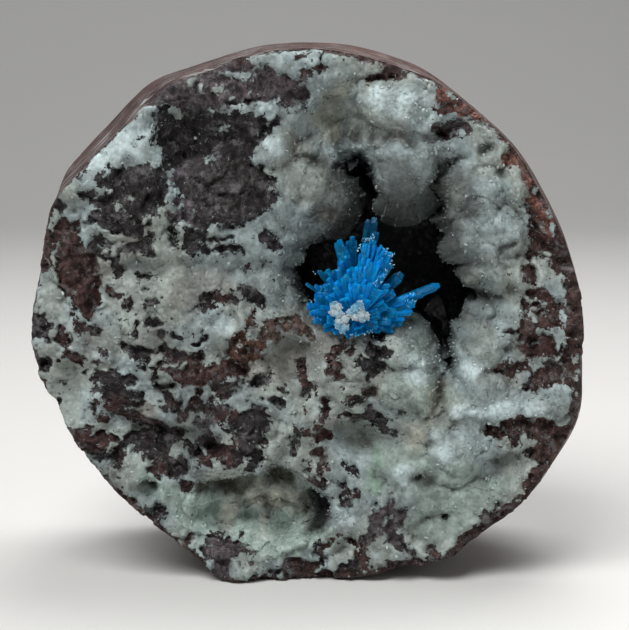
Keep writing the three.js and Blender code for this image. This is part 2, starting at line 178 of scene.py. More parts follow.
# Radius by direction in degrees: between the listed directions about two thirds of a smooth step and
# one third of a straight line.
def radiusBy(rows, degrees):
    angles = np.array([row[0] for row in rows] + [rows[0][0] + 360], float)
    radii = np.array([row[1] for row in rows] + [rows[0][1]], float)
    degrees = np.mod(degrees - angles[0], 360) + angles[0]
    at = np.clip(np.searchsorted(angles, degrees, side="right") - 1, 0, len(rows) - 1)
    t = (degrees - angles[at]) / (angles[at + 1] - angles[at])
    return radii[at] + (radii[at + 1] - radii[at]) * (0.35 * t + 0.65 * ease(t))


sawing = {
    # direction in degrees from +X towards +Z, distance from the outline's middle at the widest section,
    # and how much nearer the facet lies at the broken front and at the back
    "facets": [
        (-90, 31.8, 0, 1.2), (-77.6, 32.7, 0.4, 2.0), (-54, 34.3, 0.8, 4.2), (-31.4, 35.0, 1.0, 5.4),
        (0, 32.7, 0.3, 4.6), (16, 32.1, 0.6, 4.8), (30, 31.4, 0.9, 5.2), (51, 31.0, 0.5, 4.4),
        (73.4, 31.6, 1.2, 5.0), (91, 31.6, 0.9, 5.6), (107.8, 31.6, 0.9, 5.0), (136.5, 32.3, 1.9, 6.0),
        (168, 31.9, 0.1, 4.4), (190, 32.4, 0, 5.2), (213.4, 31.0, 0, 4.4), (229.5, 30.9, 0, 3.4),
    ],
    "leanDepth": 7.0,  # the sides lean in over this depth behind the front
    "taperDepth": 11.0,  # and draw in over this depth before the back
    "sharpness": 70,  # of the corners between facets
    "gridX": -8.0,  # middle of the grid that the stone is drawn on
    "gridZ": 30.0,
    "rimDepth": 0.5,  # the face's rim lies this far behind the front plane
    "crustClear": 1.1,  # crusts stop this far inside the outline
}


# Distance from a middle to the sawn sides: the soft least, over the facets, of the facet's distance
# divided by the cosine of the angle to it.
def outlineReach(angle, depth, middleX=sawing["gridX"], middleZ=sawing["gridZ"]):
    lean = np.clip((sawing["leanDepth"] - depth) / sawing["leanDepth"], 0, 2)
    taper = np.clip((depth - layout["depth"] + sawing["taperDepth"]) / sawing["taperDepth"], 0, 1.1)
    total = 0
    for direction, distance, atFront, atBack in sawing["facets"]:
        a = math.radians(direction)
        shift = middleX * math.cos(a) + (middleZ - layout["midHeight"]) * math.sin(a)
        reach = distance - lean * atFront - taper * atBack - shift
        total = total + (np.maximum(np.cos(angle - a), 0) / reach) ** sawing["sharpness"]
    return total ** (-1 / sawing["sharpness"])


# Plates of the face, raised (+) or sunk (-): middle x and z, half sizes along and across, turn in
# degrees, height, and the share of the size that the edge falls over.
plates = [
    (-22.5, 51.2, 7.5, 3.2, 37, 1.3, 0.3), (-13.5, 52.8, 5.2, 3.4, 0, -1.9, 0.4),
    (-8.8, 46.6, 5.2, 4.2, 0, 1.3, 0.35), (-21, 44.8, 4.6, 3.6, 0, 0.9, 0.35),
    (-27, 37.6, 2.8, 4.6, 8, 0.9, 0.5), (-13, 37, 9, 1.3, 0, -1.2, 0.8),
    (-16, 33.8, 5.5, 1.6, 0, 0.9, 0.8), (-9.6, 30.8, 2.8, 2.6, 15, 1.1, 0.4),
    (-7, 27.4, 2.2, 1.3, 20, 1.9, 0.5), (-7.3, 30.4, 0.5, 2.2, 18, 1.1, 0.5),
    (-13, 25, 4.4, 1.4, -8, 1.3, 0.6),
    (-1.8, 26.6, 2.4, 2.1, 0, -2.6, 0.6), (-23, 22.6, 2.6, 2.2, 0, 1.1, 0.5),
    (-28.2, 22.6, 2.4, 2.6, 0, -1.2, 0.8), (-16.5, 17.2, 5.4, 1.5, -12, -2.0, 0.5),
    (-8.2, 17, 4.4, 3.2, 0, 1.5, 0.3), (-18.8, 11.2, 1.3, 0.9, 0, -1.6, 0.8),
    (-8.8, 2.6, 3.2, 2.6, 0, 1.3, 0.5), (8.8, 7, 4.4, 2.2, -60, 1.3, 0.5),
    (-28.4, 29.2, 2.6, 2.6, 0, 0.9, 0.8), (2.6, 55, 2.8, 2.4, -30, -1.3, 0.9),
    (16, 53.2, 2, 1.1, 0, -0.7, 0.8), (15.6, 21.6, 1.2, 3.4, -10, -1.5, 0.7),
    (5.8, 17.3, 3.6, 1.8, -8, -2.6, 0.5), (22.8, 13.6, 3.2, 1.8, 20, -1.4, 0.7),
    (-9, 59.5, 9, 1.6, 8, 0.7, 0.6), (15.3, 44.6, 0.7, 1.3, 0, -1.6, 0.7),
    (20, 33.7, 1.8, 0.7, 0, -1.0, 0.7), (13.8, 12.3, 1.2, 1.0, 0, -1.2, 0.8),
    (-14, 20.6, 1.6, 1.2, 0, -0.9, 0.8), (-3, 19.6, 1.4, 2.0, 0, -0.8, 0.8),
    (-1.2, 34, 1.2, 3.4, 10, 0.6, 0.6), (-22, 38.8, 3.2, 1.6, 0, 0.5, 0.6),
]
# Rounded lobes of the druse: middle x and z, half sizes along and across, turn, height.
lobes = [
    (-1.6, 45.6, 3.0, 4.6, 5, 1.7), (1.6, 47.4, 4.6, 4.8, 10, 2.3), (3.4, 43.4, 2.6, 3.2, 0, 1.6),
    (-3.6, 51, 2.4, 2.2, 0, 1.7), (4.8, 52, 3.0, 2.2, 20, 1.5), (3.8, 50.2, 1.8, 1.6, 0, 1.3),
    (11.4, 46.8, 3.5, 4.3, 0, 3.2), (10.4, 50.2, 2.2, 1.8, 0, 2.2), (13.2, 49.4, 2.2, 2.2, 0, 2.3),
    (18.4, 46.4, 4.2, 3.6, 0, 2.5), (16.6, 44.4, 2.2, 2.2, 0, 2.0), (20.6, 44.6, 2.6, 2.4, 0, 2.1),
    (21, 40.8, 4.6, 3.9, 30, 2.7), (18.4, 39.4, 2.2, 2.2, 0, 2.2), (21, 36.2, 3.9, 2.6, 30, 2.2),
    (18.3, 35.0, 1.9, 1.6, 0, 1.9), (19.9, 31.6, 2.4, 2.2, 0, 1.9), (17.9, 30.6, 1.5, 1.4, 0, 1.4),
    (19.6, 28, 4.0, 2.7, -10, 2.5), (22.6, 29.2, 1.9, 1.7, 0, 1.7), (18.6, 25.4, 2.0, 1.8, 0, 1.3),
    (12.4, 27.4, 3.8, 2.7, 0, 2.5), (9.8, 28.8, 2.0, 1.5, 0, 2.0), (14.4, 29.0, 1.7, 1.5, 0, 1.9),
    (12.2, 23, 3.7, 2.9, 0, 1.8), (9.2, 22.6, 1.9, 1.7, 0, 1.3), (14.0, 20.8, 1.8, 1.6, 0, 1.3),
    (20.6, 22.8, 3.0, 2.2, 0, 1.5), (17.6, 21.2, 1.9, 1.6, 0, 1.1), (25, 20.6, 7.0, 1.5, 4, 1.3),
    (21.6, 20.0, 2.2, 1.5, 0, 1.2), (11, 14.6, 3.3, 2.7, 0, 1.3), (8.8, 17.0, 2.0, 1.7, 0, 1.2),
    (17.2, 14.6, 3.9, 3.0, 0, 1.2), (15.0, 17.6, 2.2, 1.7, 0, 1.1), (13.6, 9.6, 2.8, 2.6, 0, 1.0),
    (19.6, 9.2, 3.9, 2.8, 20, 1.1), (16.8, 6.6, 2.1, 1.8, 0, 1.2), (15.6, 4.6, 3.0, 2.4, 0, 1.3),
    (21.4, 15.8, 2.4, 1.6, 0, 1.0), (24, 11.5, 2.4, 1.8, 40, 1.0), (11, 56.2, 4.8, 3.4, 0, 2.1),
    (7.6, 56.8, 2.4, 2.4, 0, 1.6), (13.6, 54.6, 2.2, 2.0, 0, 1.5), (3.2, 58.4, 2.6, 1.8, 0, 1.2),
    (18.6, 50.8, 3.9, 2.5, 40, 1.9), (21.4, 50.6, 1.6, 1.9, 0, 1.7), (16.0, 50.6, 1.8, 1.7, 0, 1.4),
    (24.0, 46.6, 1.8, 3.2, 20, 1.1), (24.6, 36.4, 1.6, 1.8, 0, 1.0), (-2.6, 39.2, 1.7, 2.2, 0, 0.9),
    (4.6, 22.6, 2.2, 1.8, 0, 1.0), (2.0, 25.2, 1.7, 1.7, 0, 0.9), (5.6, 25.8, 1.7, 1.5, 0, 0.8),
    (-7.4, 10.2, 1.9, 1.9, 20, 1.7), (-4.4, 10.4, 1.9, 2.2, 0, 2.1), (-1.8, 9.6, 1.6, 2.0, 0, 1.5),
    (-12, 9.2, 2.6, 1.7, 10, 1.3), (-6.0, 7.4, 2.1, 1.5, 0, 1.6), (-3.0, 6.8, 1.9, 1.5, 0, 1.8),
    (-9.6, 7.6, 2.2, 1.5, -20, 1.3), (-6, 5.0, 2.8, 1.1, 0, 1.2), (-2, 4.4, 2.4, 1.1, 10, 1.2),
    (-10.6, 13.9, 3.2, 0.8, -12, 1.1), (-5.8, 13.6, 1.8, 0.8, 25, 1.2), (-3.6, 15.9, 0.9, 1.8, -15, 1.3),
    (-14.6, 14.6, 1.8, 0.7, -40, 0.9), (11.6, 11.9, 1.1, 0.9, 30, 0.8), (14.6, 12.2, 1.2, 0.9, -20, 0.7),
    (16.4, 10.6, 1.0, 1.1, 0, 0.8), (12.2, 7.4, 1.3, 1.0, 0, 0.8), (17.8, 12.2, 1.0, 0.8, 0, 0.7),
    (21.6, 11.6, 1.1, 0.9, 40, 0.7),
    (18.6, 7.0, 1.1, 0.9, 0, 0.7), (10.6, 9.9, 0.9, 1.0, 0, 0.6), (-20.6, 12.4, 1.0, 0.9, 0, 0.7),
    (-17.2, 10.2, 1.0, 0.8, 0, 0.7),
]
# Smooth places, without lumps.
calmPlaces = [[(-27, 48, 1.2), (-24.4, 50, 1.8), (-20.6, 52.8, 1.9)], [(-20, 50, 1.6)]]

# Bare basalt, stain and shadow on the face: for each finish its colour, and its strokes as (x, z, half
# width) from end to end. Later finishes lie over earlier ones.
patches = {
    "mauveBand": ((0.088, 0.072, 0.078), [
        [(-18.2, 57.2, .8), (-15, 58, 1.6), (-11, 59, 2.2), (-6.5, 59, 2.4), (-3, 58.2, 2.2),
        (-1, 57, 1.2)],
        [(-14.6, 56.4, 1), (-11, 56.6, 1.2), (-7, 57, 1.2)],
        [(-10.8, 5, .6), (-11, 3.7, 1.3), (-10.5, 2.4, 1.4), (-11, 1.7, 1.1), (-10.1, .8, .9)],
        [(-9.4, 4, 1), (-8, 3.9, 1), (-7.2, 3.4, .7)],
        [(9.6, 9.4, .5), (8.6, 8.6, .9), (7.8, 7.4, 1.1), (7.5, 6, 1), (7.0, 4.9, .9)],
        [(9.8, 8.8, .8), (10.8, 8.2, .8), (11.2, 7.4, .5), (10.8, 6.4, .6)],
        [(9.6, 6.6, 1), (10.2, 5.4, .8), (11, 4.6, .4), (12, 3.8, .4), (12.3, 3.4, .3)],
        [(15.8, 53.5, .6), (17.2, 53.6, .6), (17.9, 53.2, .4)], [(18.6, 54, .3)],
    ]),
    "greyMound": ((0.045, 0.039, 0.040), [
        [(-13.5, 49, 1.8), (-10, 48.5, 2.4), (-6.8, 48.3, 1.8), (-5.2, 46.8, 1.4)],
        [(-14.2, 46.5, 1.6), (-10.5, 46, 2.4), (-6.4, 45.5, 2.2), (-4.4, 45.3, .9)],
        [(-12, 43.6, 1.4), (-8.8, 43.6, 1.4), (-6.3, 43.5, 1)],
        [(-24.7, 26.5, .4)], [(-23.3, 27.2, .4)], [(-26.2, 25.2, .3)],
    ]),
    "lilacVeil": ((0.115, 0.100, 0.112), [
        [(-15, 48.6, .8), (-14, 47.2, 1.3), (-13.4, 45.4, 1), (-14.6, 44.6, .5)],
        [(-15.4, 42.8, .7), (-13, 43, .8)], [(-10.6, 43.8, .8), (-9.8, 42.9, .5)],
    ]),
    # dark basalt in the recess, with painted shadow over it and along the grey mound's edge
    "darkBasaltAndPaintedShadow": ((0.022, 0.019, 0.020), [
        [(-17.2, 55.3, 1), (-16.4, 52.5, 1.9), (-15.8, 50.4, 1.7), (-15.6, 49, 1)],
        [(-14, 54, 1.6), (-11, 53.6, 1.8), (-7.5, 53.2, 2.4), (-4.6, 54, 1.2)],
        [(-13.5, 52.2, 2), (-10, 52, 2.0), (-7, 51.2, 1.6)],
        [(-7.4, 49.6, .7), (-6, 48.8, .7), (-5, 47, .5)],
    ]),
    "charcoalBasalt": ((0.031, 0.027, 0.029), [
        [(-22.6, 47.4, 1.2), (-19.8, 47.6, 1.5), (-17.6, 47.4, 1.1), (-16.9, 46, .6)],
        [(-24.6, 45, 1), (-22, 44.6, 2.2), (-19, 45, 2.2), (-17.4, 44.6, .7)],
        [(-25.3, 42.8, .7), (-22.5, 42.5, 1.3), (-19.8, 42.3, 1.3), (-18.6, 42.8, .8)],
        [(-25.2, 46.2, .7)], [(-29.4, 45, .4), (-29, 44, .6), (-28.9, 43.6, .4)],
        [(-25, 40, .5), (-24, 38.6, .5), (-22.6, 38.3, .5), (-21.5, 39.2, .5), (-20.5, 39.6, .7),
         (-18.6, 39.8, .9), (-17.8, 40.8, .5)],
        [(-24.6, 40.3, .6), (-23.4, 40.4, .5)], [(-15.8, 41, .5), (-15, 40.3, .5)],
        [(-13.3, 41.8, .5), (-12, 41.3, .6)], [(-14, 39.8, .5), (-12.4, 39.2, .7), (-11.3, 39, .4)],
        [(-13.5, 40.6, .5), (-11, 40.5, .5), (-9, 40.7, .5)],
        [(-10.4, 39.4, .4), (-8.4, 39.3, .5), (-7.4, 39, .3)],
        [(-8.8, 40.8, .35)], [(-4.9, 41, .6), (-4.3, 40.4, .8), (-3.8, 39.3, .6), (-3.9, 38.9, .4)],
        [(-7.6, 37, .35), (-6.9, 37.6, .3)], [(-4.9, 37.4, .25)],
        [(-22.5, 37.4, .45), (-21.9, 36.8, .35)], [(-22.8, 35, .4), (-22.6, 34.2, .6), (-22.8, 33.8, .4)],
        [(-20.9, 33.2, .6), (-21.1, 32.6, .4)], [(-19.5, 36.4, .4), (-18.6, 36, .3)], [(-19.2, 34.6, .35)],
        [(-18.8, 32.9, .35), (-17.6, 32.9, .35)],
        [(-12.4, 33.7, .4), (-11.3, 33.5, .8), (-9.5, 33.5, .7), (-8.4, 33.2, .3)],
        [(-12.6, 32.5, .3), (-11.5, 32.5, .5)],
        [(-8.2, 34.9, .3), (-7, 34.3, .8), (-6, 33.6, .7), (-5.7, 33.1, .3)],
        [(-27.4, 32.9, .3)], [(-27.6, 31.6, .35), (-26.6, 30.6, .4), (-25.3, 30.2, .6)],
        [(-31.6, 31, .6), (-30.4, 30.9, .6)], [(-19.9, 31, .25), (-19.8, 30.4, .3)],
        [(-18.4, 30.9, .4), (-17.5, 30.8, .35)],
        [(-31.8, 30.6, .9), (-30.6, 30.5, .9), (-31.4, 29.4, .9), (-30.4, 28.8, .5)],
        [(-29, 29.8, .5), (-28.6, 29.2, .9), (-28.3, 28.7, .5), (-27.4, 29, .3)],
        [(-32.2, 27, .4), (-31.5, 26.2, .8), (-31.2, 25.5, .7), (-30.4, 26.8, .3)],
        [(-27.2, 27.2, .7), (-26.3, 26.9, .4)], [(-28.7, 26.6, .3)],
        [(-27.2, 30.6, .3), (-25.4, 30.3, .4), (-24.6, 29.9, .3)],
        [(-21.6, 28.2, .4), (-20.2, 27.6, .8), (-18.8, 27.5, .8), (-18.4, 27, .5)], [(-19.2, 25.7, .5)],
        [(-16.9, 28.2, .7), (-16.2, 27, .8), (-15, 26.9, .6), (-15.2, 25.8, .5)], [(-17.2, 29.6, .4)],
        [(-15.6, 29.1, .4)], [(-13.4, 28.6, .3), (-12.6, 28.4, .3)], [(-11.7, 29, .35)],
        [(-9.6, 28.7, .35)], [(-21.4, 29.4, .3)], [(-19.9, 29.8, .4)],
        [(-24.4, 24.3, .8), (-22.6, 23.8, 1), (-21, 23.9, .5)],
        [(-24.8, 23, .5), (-23, 22.6, 1.5), (-21.4, 21.9, 1.3), (-20.4, 21.3, .7)],
        [(-23, 20.9, 1), (-21.8, 20.8, .8)], [(-24.6, 20, .6), (-23.8, 19.4, .3)],
        [(-16.6, 22, .4), (-15.6, 21.4, .8), (-15.2, 20.8, .5), (-16.4, 20.6, .4)],
        [(-10.8, 23.2, .5), (-10.2, 22.8, .5)],
        [(-9.8, 22, .7), (-8.9, 22.3, .5)], [(-11.8, 20.8, .4), (-10.6, 20.8, .6)],
        [(-6.8, 24, .4), (-5.6, 24.3, .7), (-4.6, 24.5, .6)], [(-3, 23.3, .5), (-2.4, 23.1, .3)],
        [(-.6, 25.4, .6), (-.6, 24.3, .5), (.3, 23.6, .9), (.1, 22.5, .5)],
        [(-4.4, 22, .5), (-3.4, 21.3, .9), (-3.1, 20.6, .7)], [(-5.4, 22.2, .3)],
        [(-8, 19.6, .9), (-6.2, 19.4, 1.2), (-5.2, 18.8, .7)],
        [(-9.4, 17.6, 1), (-7.4, 17.4, 2), (-5.6, 17.4, 1)],
        [(-12, 16.6, 1.4), (-9.5, 15.8, 1.5), (-7, 15.5, 1.6), (-5.9, 15, .8)],
        [(-14, 16.4, .7), (-13, 15.2, .8), (-12, 14.8, .8)], [(-9.2, 14.2, .7)], [(-6.9, 13.9, .8)],
        [(-10.6, 19.9, .5), (-9.6, 20.3, .6)],
        [(-20.8, 16.6, .9), (-19.2, 16.8, 1.4), (-17.4, 16.6, 1.4), (-15.6, 17, 1.2), (-14.6, 17.4, .7)],
        [(-20, 15.7, .7), (-18, 15.5, .9), (-16.6, 15.9, .8)],
        [(-27.3, 17.4, .7), (-26, 17.4, .5), (-25.8, 18.3, .3)],
        [(-26.4, 16.4, .5), (-25, 16.4, 1.1), (-24, 17, .8), (-23, 17.2, .5)],
        [(-25, 15.2, .7), (-24.2, 14.9, .6)],
        [(-22.6, 15.6, .6), (-21.8, 16.2, .5), (-21.2, 17.2, .4)], [(-23.2, 14.6, .6), (-22.4, 14.7, .5)],
        [(-29.5, 21, .3)],
        [(-18, 13.8, .7), (-16.4, 13.8, 1.3), (-15, 13.7, 1), (-14.4, 14.2, .5)], [(-15.8, 12.8, .6)],
        [(-17.3, 12.6, .5)], [(-14.6, 11.6, .5), (-14.3, 11, .35), (-13.9, 11.9, .4)],
        [(-19.3, 8.4, .4), (-18.4, 8.8, .5), (-17.2, 8.7, .5), (-16.8, 8.2, .3)], [(-19.5, 7.9, .4)],
        [(-15.2, 3.8, .4), (-14.6, 3.6, .4)], [(-12.5, 3.1, .4)],
        [(-13.4, 20.9, .8), (-12, 20.7, .8), (-11, 21.3, .6)], [(-14.7, 19.9, .6)],
        [(-12.8, 19.3, .7), (-11.4, 18.5, .9)], [(-10, 23.5, .5), (-8.6, 23.4, .5), (-7.6, 23.8, .3)],
        [(-21.4, 20.4, .8), (-20, 19.6, .9), (-18.4, 19.2, .7), (-17, 18.4, .5)],
        [(-20.4, 22.2, .5), (-19.4, 21.4, .5)],
        [(-17.4, 24.4, .4), (-17.2, 25.6, .4)], [(-12.8, 22.2, .5)], [(-6.4, 21.4, .5), (-5.6, 20.6, .6)],
        [(-3.8, .9, .7), (-2.9, 1.2, .4)], [(.9, 3.9, .7)],
        [(1.5, 2.4, .5)], [(7.6, 29, .4), (8.4, 28.8, .5)],
        [(7.6, 27.4, .5), (8.6, 27.2, .7), (9.6, 27.2, .4)],
        [(6.4, 26, .5), (7.8, 25.8, .8), (8.9, 25.6, .6)],
        [(7.2, 24.9, .6), (8.2, 25, .4)], [(5, 22.4, .4), (5.6, 21.8, .5), (4.8, 21.2, .4)],
        [(2.2, 21.6, .3), (2.3, 20.6, .3)], [(0, 14.6, .3)],
        [(-1.7, 17.6, .4), (-1.8, 16.8, .5), (-1.8, 15.2, .3)],
        [(-2.8, 17.2, .35)],
        [(4, 19.6, .5), (5.6, 19.3, .5), (7.5, 19.6, .8), (8.6, 19, .7), (9.6, 18.3, .4), (10.6, 17.6, .2)],
        [(7.3, 20.6, .5), (6.8, 20.5, .3)], [(5.3, 13.4, .6), (5.7, 12.8, .4)], [(4.5, 13.9, .2)],
        [(4, 10.9, .6), (4.3, 10.2, .6), (4.8, 10, .3)], [(5.7, 10.5, .4)],
        [(4.7, 8.9, .6), (4.3, 8.6, .4), (5.4, 8.9, .3)], [(5.4, 1.5, .5), (4, 1.2, .5)], [(2.4, 2.4, .3)],
        [(1.9, 3.4, .3)], [(14.4, 2.6, .4), (15.6, 2.4, .4)],
    ]),
    "redBasalt": ((0.052, 0.030, 0.026), [
        [(-28.2, 42.3, .7), (-27.6, 41.6, 1.2), (-28.3, 40.6, 1.6), (-27.3, 39.5, 2), (-27, 37.5, 2.4),
         (-26.5, 35.5, 2.4), (-25.6, 33.6, 1.6), (-25.6, 32.6, .8)],
        [(-30.6, 41, .6), (-29.6, 40.2, .9), (-29.5, 38.6, 1)], [(-31, 38, .6), (-30.5, 37.6, .4)],
        [(-8.5, 61, .9), (-6.8, 60.6, .8)], [(-.6, 59, .9), (1, 60.6, .8), (2, 61.6, .5)],
        [(-1.3, 62, .5), (-.2, 62.2, .3)],
        [(-16, 25, .6), (-14.4, 24.6, 1), (-13, 25.4, 1.3), (-12.4, 26.6, .8), (-13.9, 26.6, .5)],
        [(-13.4, 24.2, .8), (-11.6, 24.4, 1.3), (-10.2, 25, 1.2), (-9, 25.2, .8), (-7.8, 25, .4)],
        [(-2, 2, .7), (-.8, 1.8, 1), (.4, 2, .6)],
        [(4.1, 28.6, .5), (3.9, 27.4, .8), (3, 26.6, .8), (2.9, 25.6, .6), (3.7, 25.2, .6)],
        [(5.2, 28.2, .5), (5, 27.2, .5)], [(1.6, 20, .5), (1.4, 19.2, .4)],
        [(1.2, 17.7, .6), (2, 17.3, .5), (1.2, 16.9, .4)],
        [(1.3, 15.6, .4), (1.6, 14.2, .4), (1.6, 13, .5), (1.6, 12, .4), (.6, 11.8, .5), (-.2, 12.4, .3),
        (-.4, 12.8, .2)],
        [(6.8, 3.8, .5), (6.4, 3, .8), (6.2, 2.2, .8)],
        [(3.2, 5.4, .2), (4.5, 5.2, .25), (5.4, 4.6, .3), (6, 4, .4)], [(2.4, 4.4, .4), (1.6, 3.8, .5)],
        [(-.7, 6.5, .4)], [(15, 3.7, .8), (15.8, 3.8, .4)],
        [(-2, .7, .6), (4, .5, .5), (12, 1.6, .6), (17, 2.3, .4)],
        [(15, 53.3, .4), (15.7, 52.9, .6), (16.5, 53, .5)],
        [(6.6, 58.9, .4), (7.6, 59.2, .5), (9, 59.3, .5), (10.6, 59.3, .4), (11.2, 59.5, .3)],
        [(25.4, 44.4, .6), (26, 43.2, .8), (26.4, 42, .6)],
        [(27, 41, 1.2), (27.8, 39.6, 1.6), (26.6, 39.2, 1.1), (26, 38.6, .8)],
        [(29.3, 40, 1), (29.6, 38.2, 1.2), (30.2, 36.6, 1), (30.6, 35.4, .6)],
        [(25.2, 37.2, .7), (26, 36.6, .8), (25.2, 35.8, .5), (26.8, 36, .5)],
        [(24.7, 33.2, .5), (25.2, 32.8, .6)], [(26.4, 34.2, .8), (27.6, 34.2, .9), (28.6, 33.4, .6)],
        [(25.2, 31.6, .7), (26, 30.6, .8), (24.8, 30.2, .9), (23.6, 30, .4)],
        [(27, 32.2, .6), (28, 31.2, .9), (29, 30.9, .6), (28.6, 32.6, .5)],
        [(31.2, 31.6, .6), (30.9, 29.8, .7), (31, 28, .9), (30.4, 26.6, 1), (30.9, 25, .9), (31, 23.6, .7)],
        [(26, 29.6, .6), (27.4, 29, .5), (25, 28.8, .6)],
        [(24.8, 27.6, .6), (26, 27.6, .9), (27.6, 27.8, .8), (29, 27.6, .8)],
        [(23, 26, .6), (22.6, 25, .7), (23.2, 24.4, .6), (24, 25.2, .6), (25, 25.6, .7)],
        [(26.2, 25.8, .9), (27, 24.8, 1.1), (28.4, 25.2, 1), (29.4, 24.4, 1), (28, 23.8, .7)],
        [(26.2, 23.6, .7), (26.8, 23.4, .5)], [(21.4, 18.3, .7), (22.4, 18.2, .6), (21.4, 17.6, .4)],
        [(23.4, 19.3, .6), (24.6, 19, .8), (24, 17.8, .9), (24.6, 16.9, .7), (23.4, 17.4, .4)],
        [(26, 18.6, 1.2), (27.6, 18.2, 1.3), (29, 17.6, 1), (29.2, 16.6, .8), (27.6, 16.8, 1)],
        [(25.6, 19.4, .4)],
        [(26, 15.2, .7), (27.4, 15.4, 1), (28.4, 14.8, .8), (27.4, 13.6, .7), (26.6, 12.6, .7),
        (25.9, 11.8, .5),
         (26.8, 11.2, .6), (26, 10.2, .6), (25, 9.4, .5), (24, 8.6, .4), (22.6, 7.2, .4), (21, 5.8, .4),
         (19.6, 4.9, .4), (18, 3.4, .3)],
    ]),
    "redRim": ((0.200, 0.090, 0.070), [
        [(15.6, 58, .6), (15.6, 56.6, .7), (16.5, 55.8, .9), (17.8, 55.3, .8), (19, 55, .6),
        (19.6, 54.4, .5)],
        [(19, 56, .8), (21, 54.5, .7), (22.5, 53, .7), (24, 52, .8)],
        [(23, 50.2, .5), (23.4, 49.4, .7), (24.8, 49.8, 1.1), (25.6, 48, 1.2), (26.2, 46.6, 1.2),
        (26.6, 45, 1.3),
         (27.4, 43.4, 1.3), (28, 41.6, 1.0)],
    ]),
    "greyFilm": ((0.085, 0.085, 0.089), [
        [(-9.4, 47.6, .4), (-8.2, 46.8, .6), (-7.2, 47.4, .3)], [(-11.8, 45.4, .4), (-10.6, 44.8, .5)],
        [(-21.6, 45.2, .3), (-20.2, 44, .5), (-19.2, 43.4, .3)], [(-23.8, 44.2, .4)],
        [(-6.2, 53.6, .5), (-5.2, 52.6, .4)],
        [(-12.6, 54.4, .9), (-11, 52.8, 1.3), (-10, 51.4, .9)], [(-8, 54.6, .6)],
        [(-14.4, 56, .6), (-12, 55.6, .7)], [(-12.2, 18.8, .7), (-10.8, 19.6, .5)],
    ]),
    "rustShard": ((0.086, 0.043, 0.029), [
        [(-6.6, 32, .35), (-6.9, 30.8, .5), (-7.6, 29.4, .55), (-8.5, 28, .6), (-9.1, 27, .7),
        (-9, 26.2, .8)],
        [(-8.6, 26.6, .9), (-7.2, 27.1, 1.3), (-5.8, 27.8, 1.0), (-4.9, 28.4, .5)], [(-7.9, 25.9, .7)],
        [(-9.4, 25.8, .7), (-10.6, 25, .7), (-11.8, 24, .7)],
    ]),
    "orangeStain": ((0.098, 0.066, 0.054), [
        [(-5.6, 28.6, .6), (-4.4, 29.8, .7), (-3.6, 29.2, .5)],
        [(-4.8, 30.3, .5), (-3.2, 31, .4), (-1.6, 31.3, .4), (-.8, 30.9, .5)],
        [(-2.4, 30.2, .5), (-1, 30, .8), (-.2, 29.4, .7), (0, 28.6, .4)],
        [(-14.7, 4.6, .6), (-14.4, 5.1, .4)], [(6.6, 22.6, .5), (7.5, 22.7, .6), (7.9, 22.3, .3)],
    ]),
    # painted shadow in small holes
    "paintedHoleShadows": ((0.010, 0.009, 0.009), [
        [(-17.7, 23.2, .4)], [(-16.2, 23.3, .4)], [(-18.8, 11.1, .2), (-18.2, 11.4, .3)], [(-6.5, 49, .4)],
        [(16.3, 7.5, .25)],
    ]),
}
# Crystal crust that runs over the basalt as veins, specks and ribs.
crustOverRock = [
    [(-13.6, 58.6, .5)], [(-12.2, 57.8, .6)], [(-10.3, 57.7, .45)], [(-15, 59.5, .5)], [(-3.8, 56.3, .7)],
    [(-10.5, 60.2, .35), (-8, 59.6, .3), (-6.3, 59.3, .3)], [(-8.5, 56.6, .3), (-7.4, 55.9, .25)],
    [(-6.3, 55.6, .3), (-3.5, 55.2, .35), (-1.5, 55.5, .3)],
    [(-5, 62, .6), (-3.5, 61, 1.1), (-2.2, 60.2, .9), (-1, 59.2, .6)], [(-6.2, 61.3, .5), (-5.8, 60.5, .4)],
    [(-.3, 60.7, .8), (1.2, 61.3, .6)], [(-17, 59, .4), (-15, 60, .5), (-13, 60.6, .4)],
    [(-12, 61.3, .4), (-10.4, 61.8, .4), (-9, 62, .3)], [(-11.5, 55.5, .35)], [(-10, 55.6, .3)],
    [(-10, 53.3, .35)], [(-13, 52.5, .3)], [(-11, 49.6, .35)], [(-22.7, 46, .3)], [(-20.3, 45.8, .3)],
    [(-18.6, 43, .35)], [(-21.6, 44.4, .25)], [(-20.5, 43, .25)],
    [(-28.5, 40, .12), (-29.2, 38.8, .12), (-29.7, 37.8, .12)], [(-26, 40.8, .14), (-24.8, 38.8, .14)],
    [(-10.6, 18.6, .7), (-9.8, 17.6, .7), (-10.4, 17, .4)], [(-7.4, 14.5, .35)],
    [(-7.9, 27.6, .3), (-7.2, 27.3, .25)], [(-5.4, 27, .3), (-4.6, 27.4, .3)],
    [(26.4, 45.5, .35), (26.7, 44.6, .3)], [(22.6, 51.6, .3), (24.4, 50.9, .3)],
    [(27.3, 44.8, .14), (28, 43.2, .14)],
    [(28.7, 42.2, .2), (29.3, 40.6, .16)], [(27.5, 42.4, .13), (28, 41.4, .13)],
    [(25.4, 48.6, .13), (26, 47.8, .13)],
    [(27.6, 27, .3)], [(28.6, 29, .3), (29, 28.2, .25)], [(26.4, 28.4, .2)],
    [(-7.7, 2.9, .5), (-8.4, 2.6, .4)],
    [(-11.4, 18.9, .3)], [(-8.6, 18.4, .25)], [(-7.6, 16.9, .2)], [(-12.2, 15.4, .2)],
    [(27.6, 37.6, .4), (28.4, 36.7, .7), (29.2, 35.4, .8), (29.9, 34.4, .7), (30.2, 33.6, .3)],
    [(30.6, 35, .3)],
    [(26.6, 38.2, .15), (27.5, 38.8, .15), (28.6, 38.3, .12)], [(27, 25.5, .3)], [(26.6, 26.6, .3)],
    [(28.2, 30, .4)], [(25.6, 28.6, .2)], [(29.6, 28.8, .3)], [(25.6, 17.2, .4), (25.2, 16.4, .3)],
]
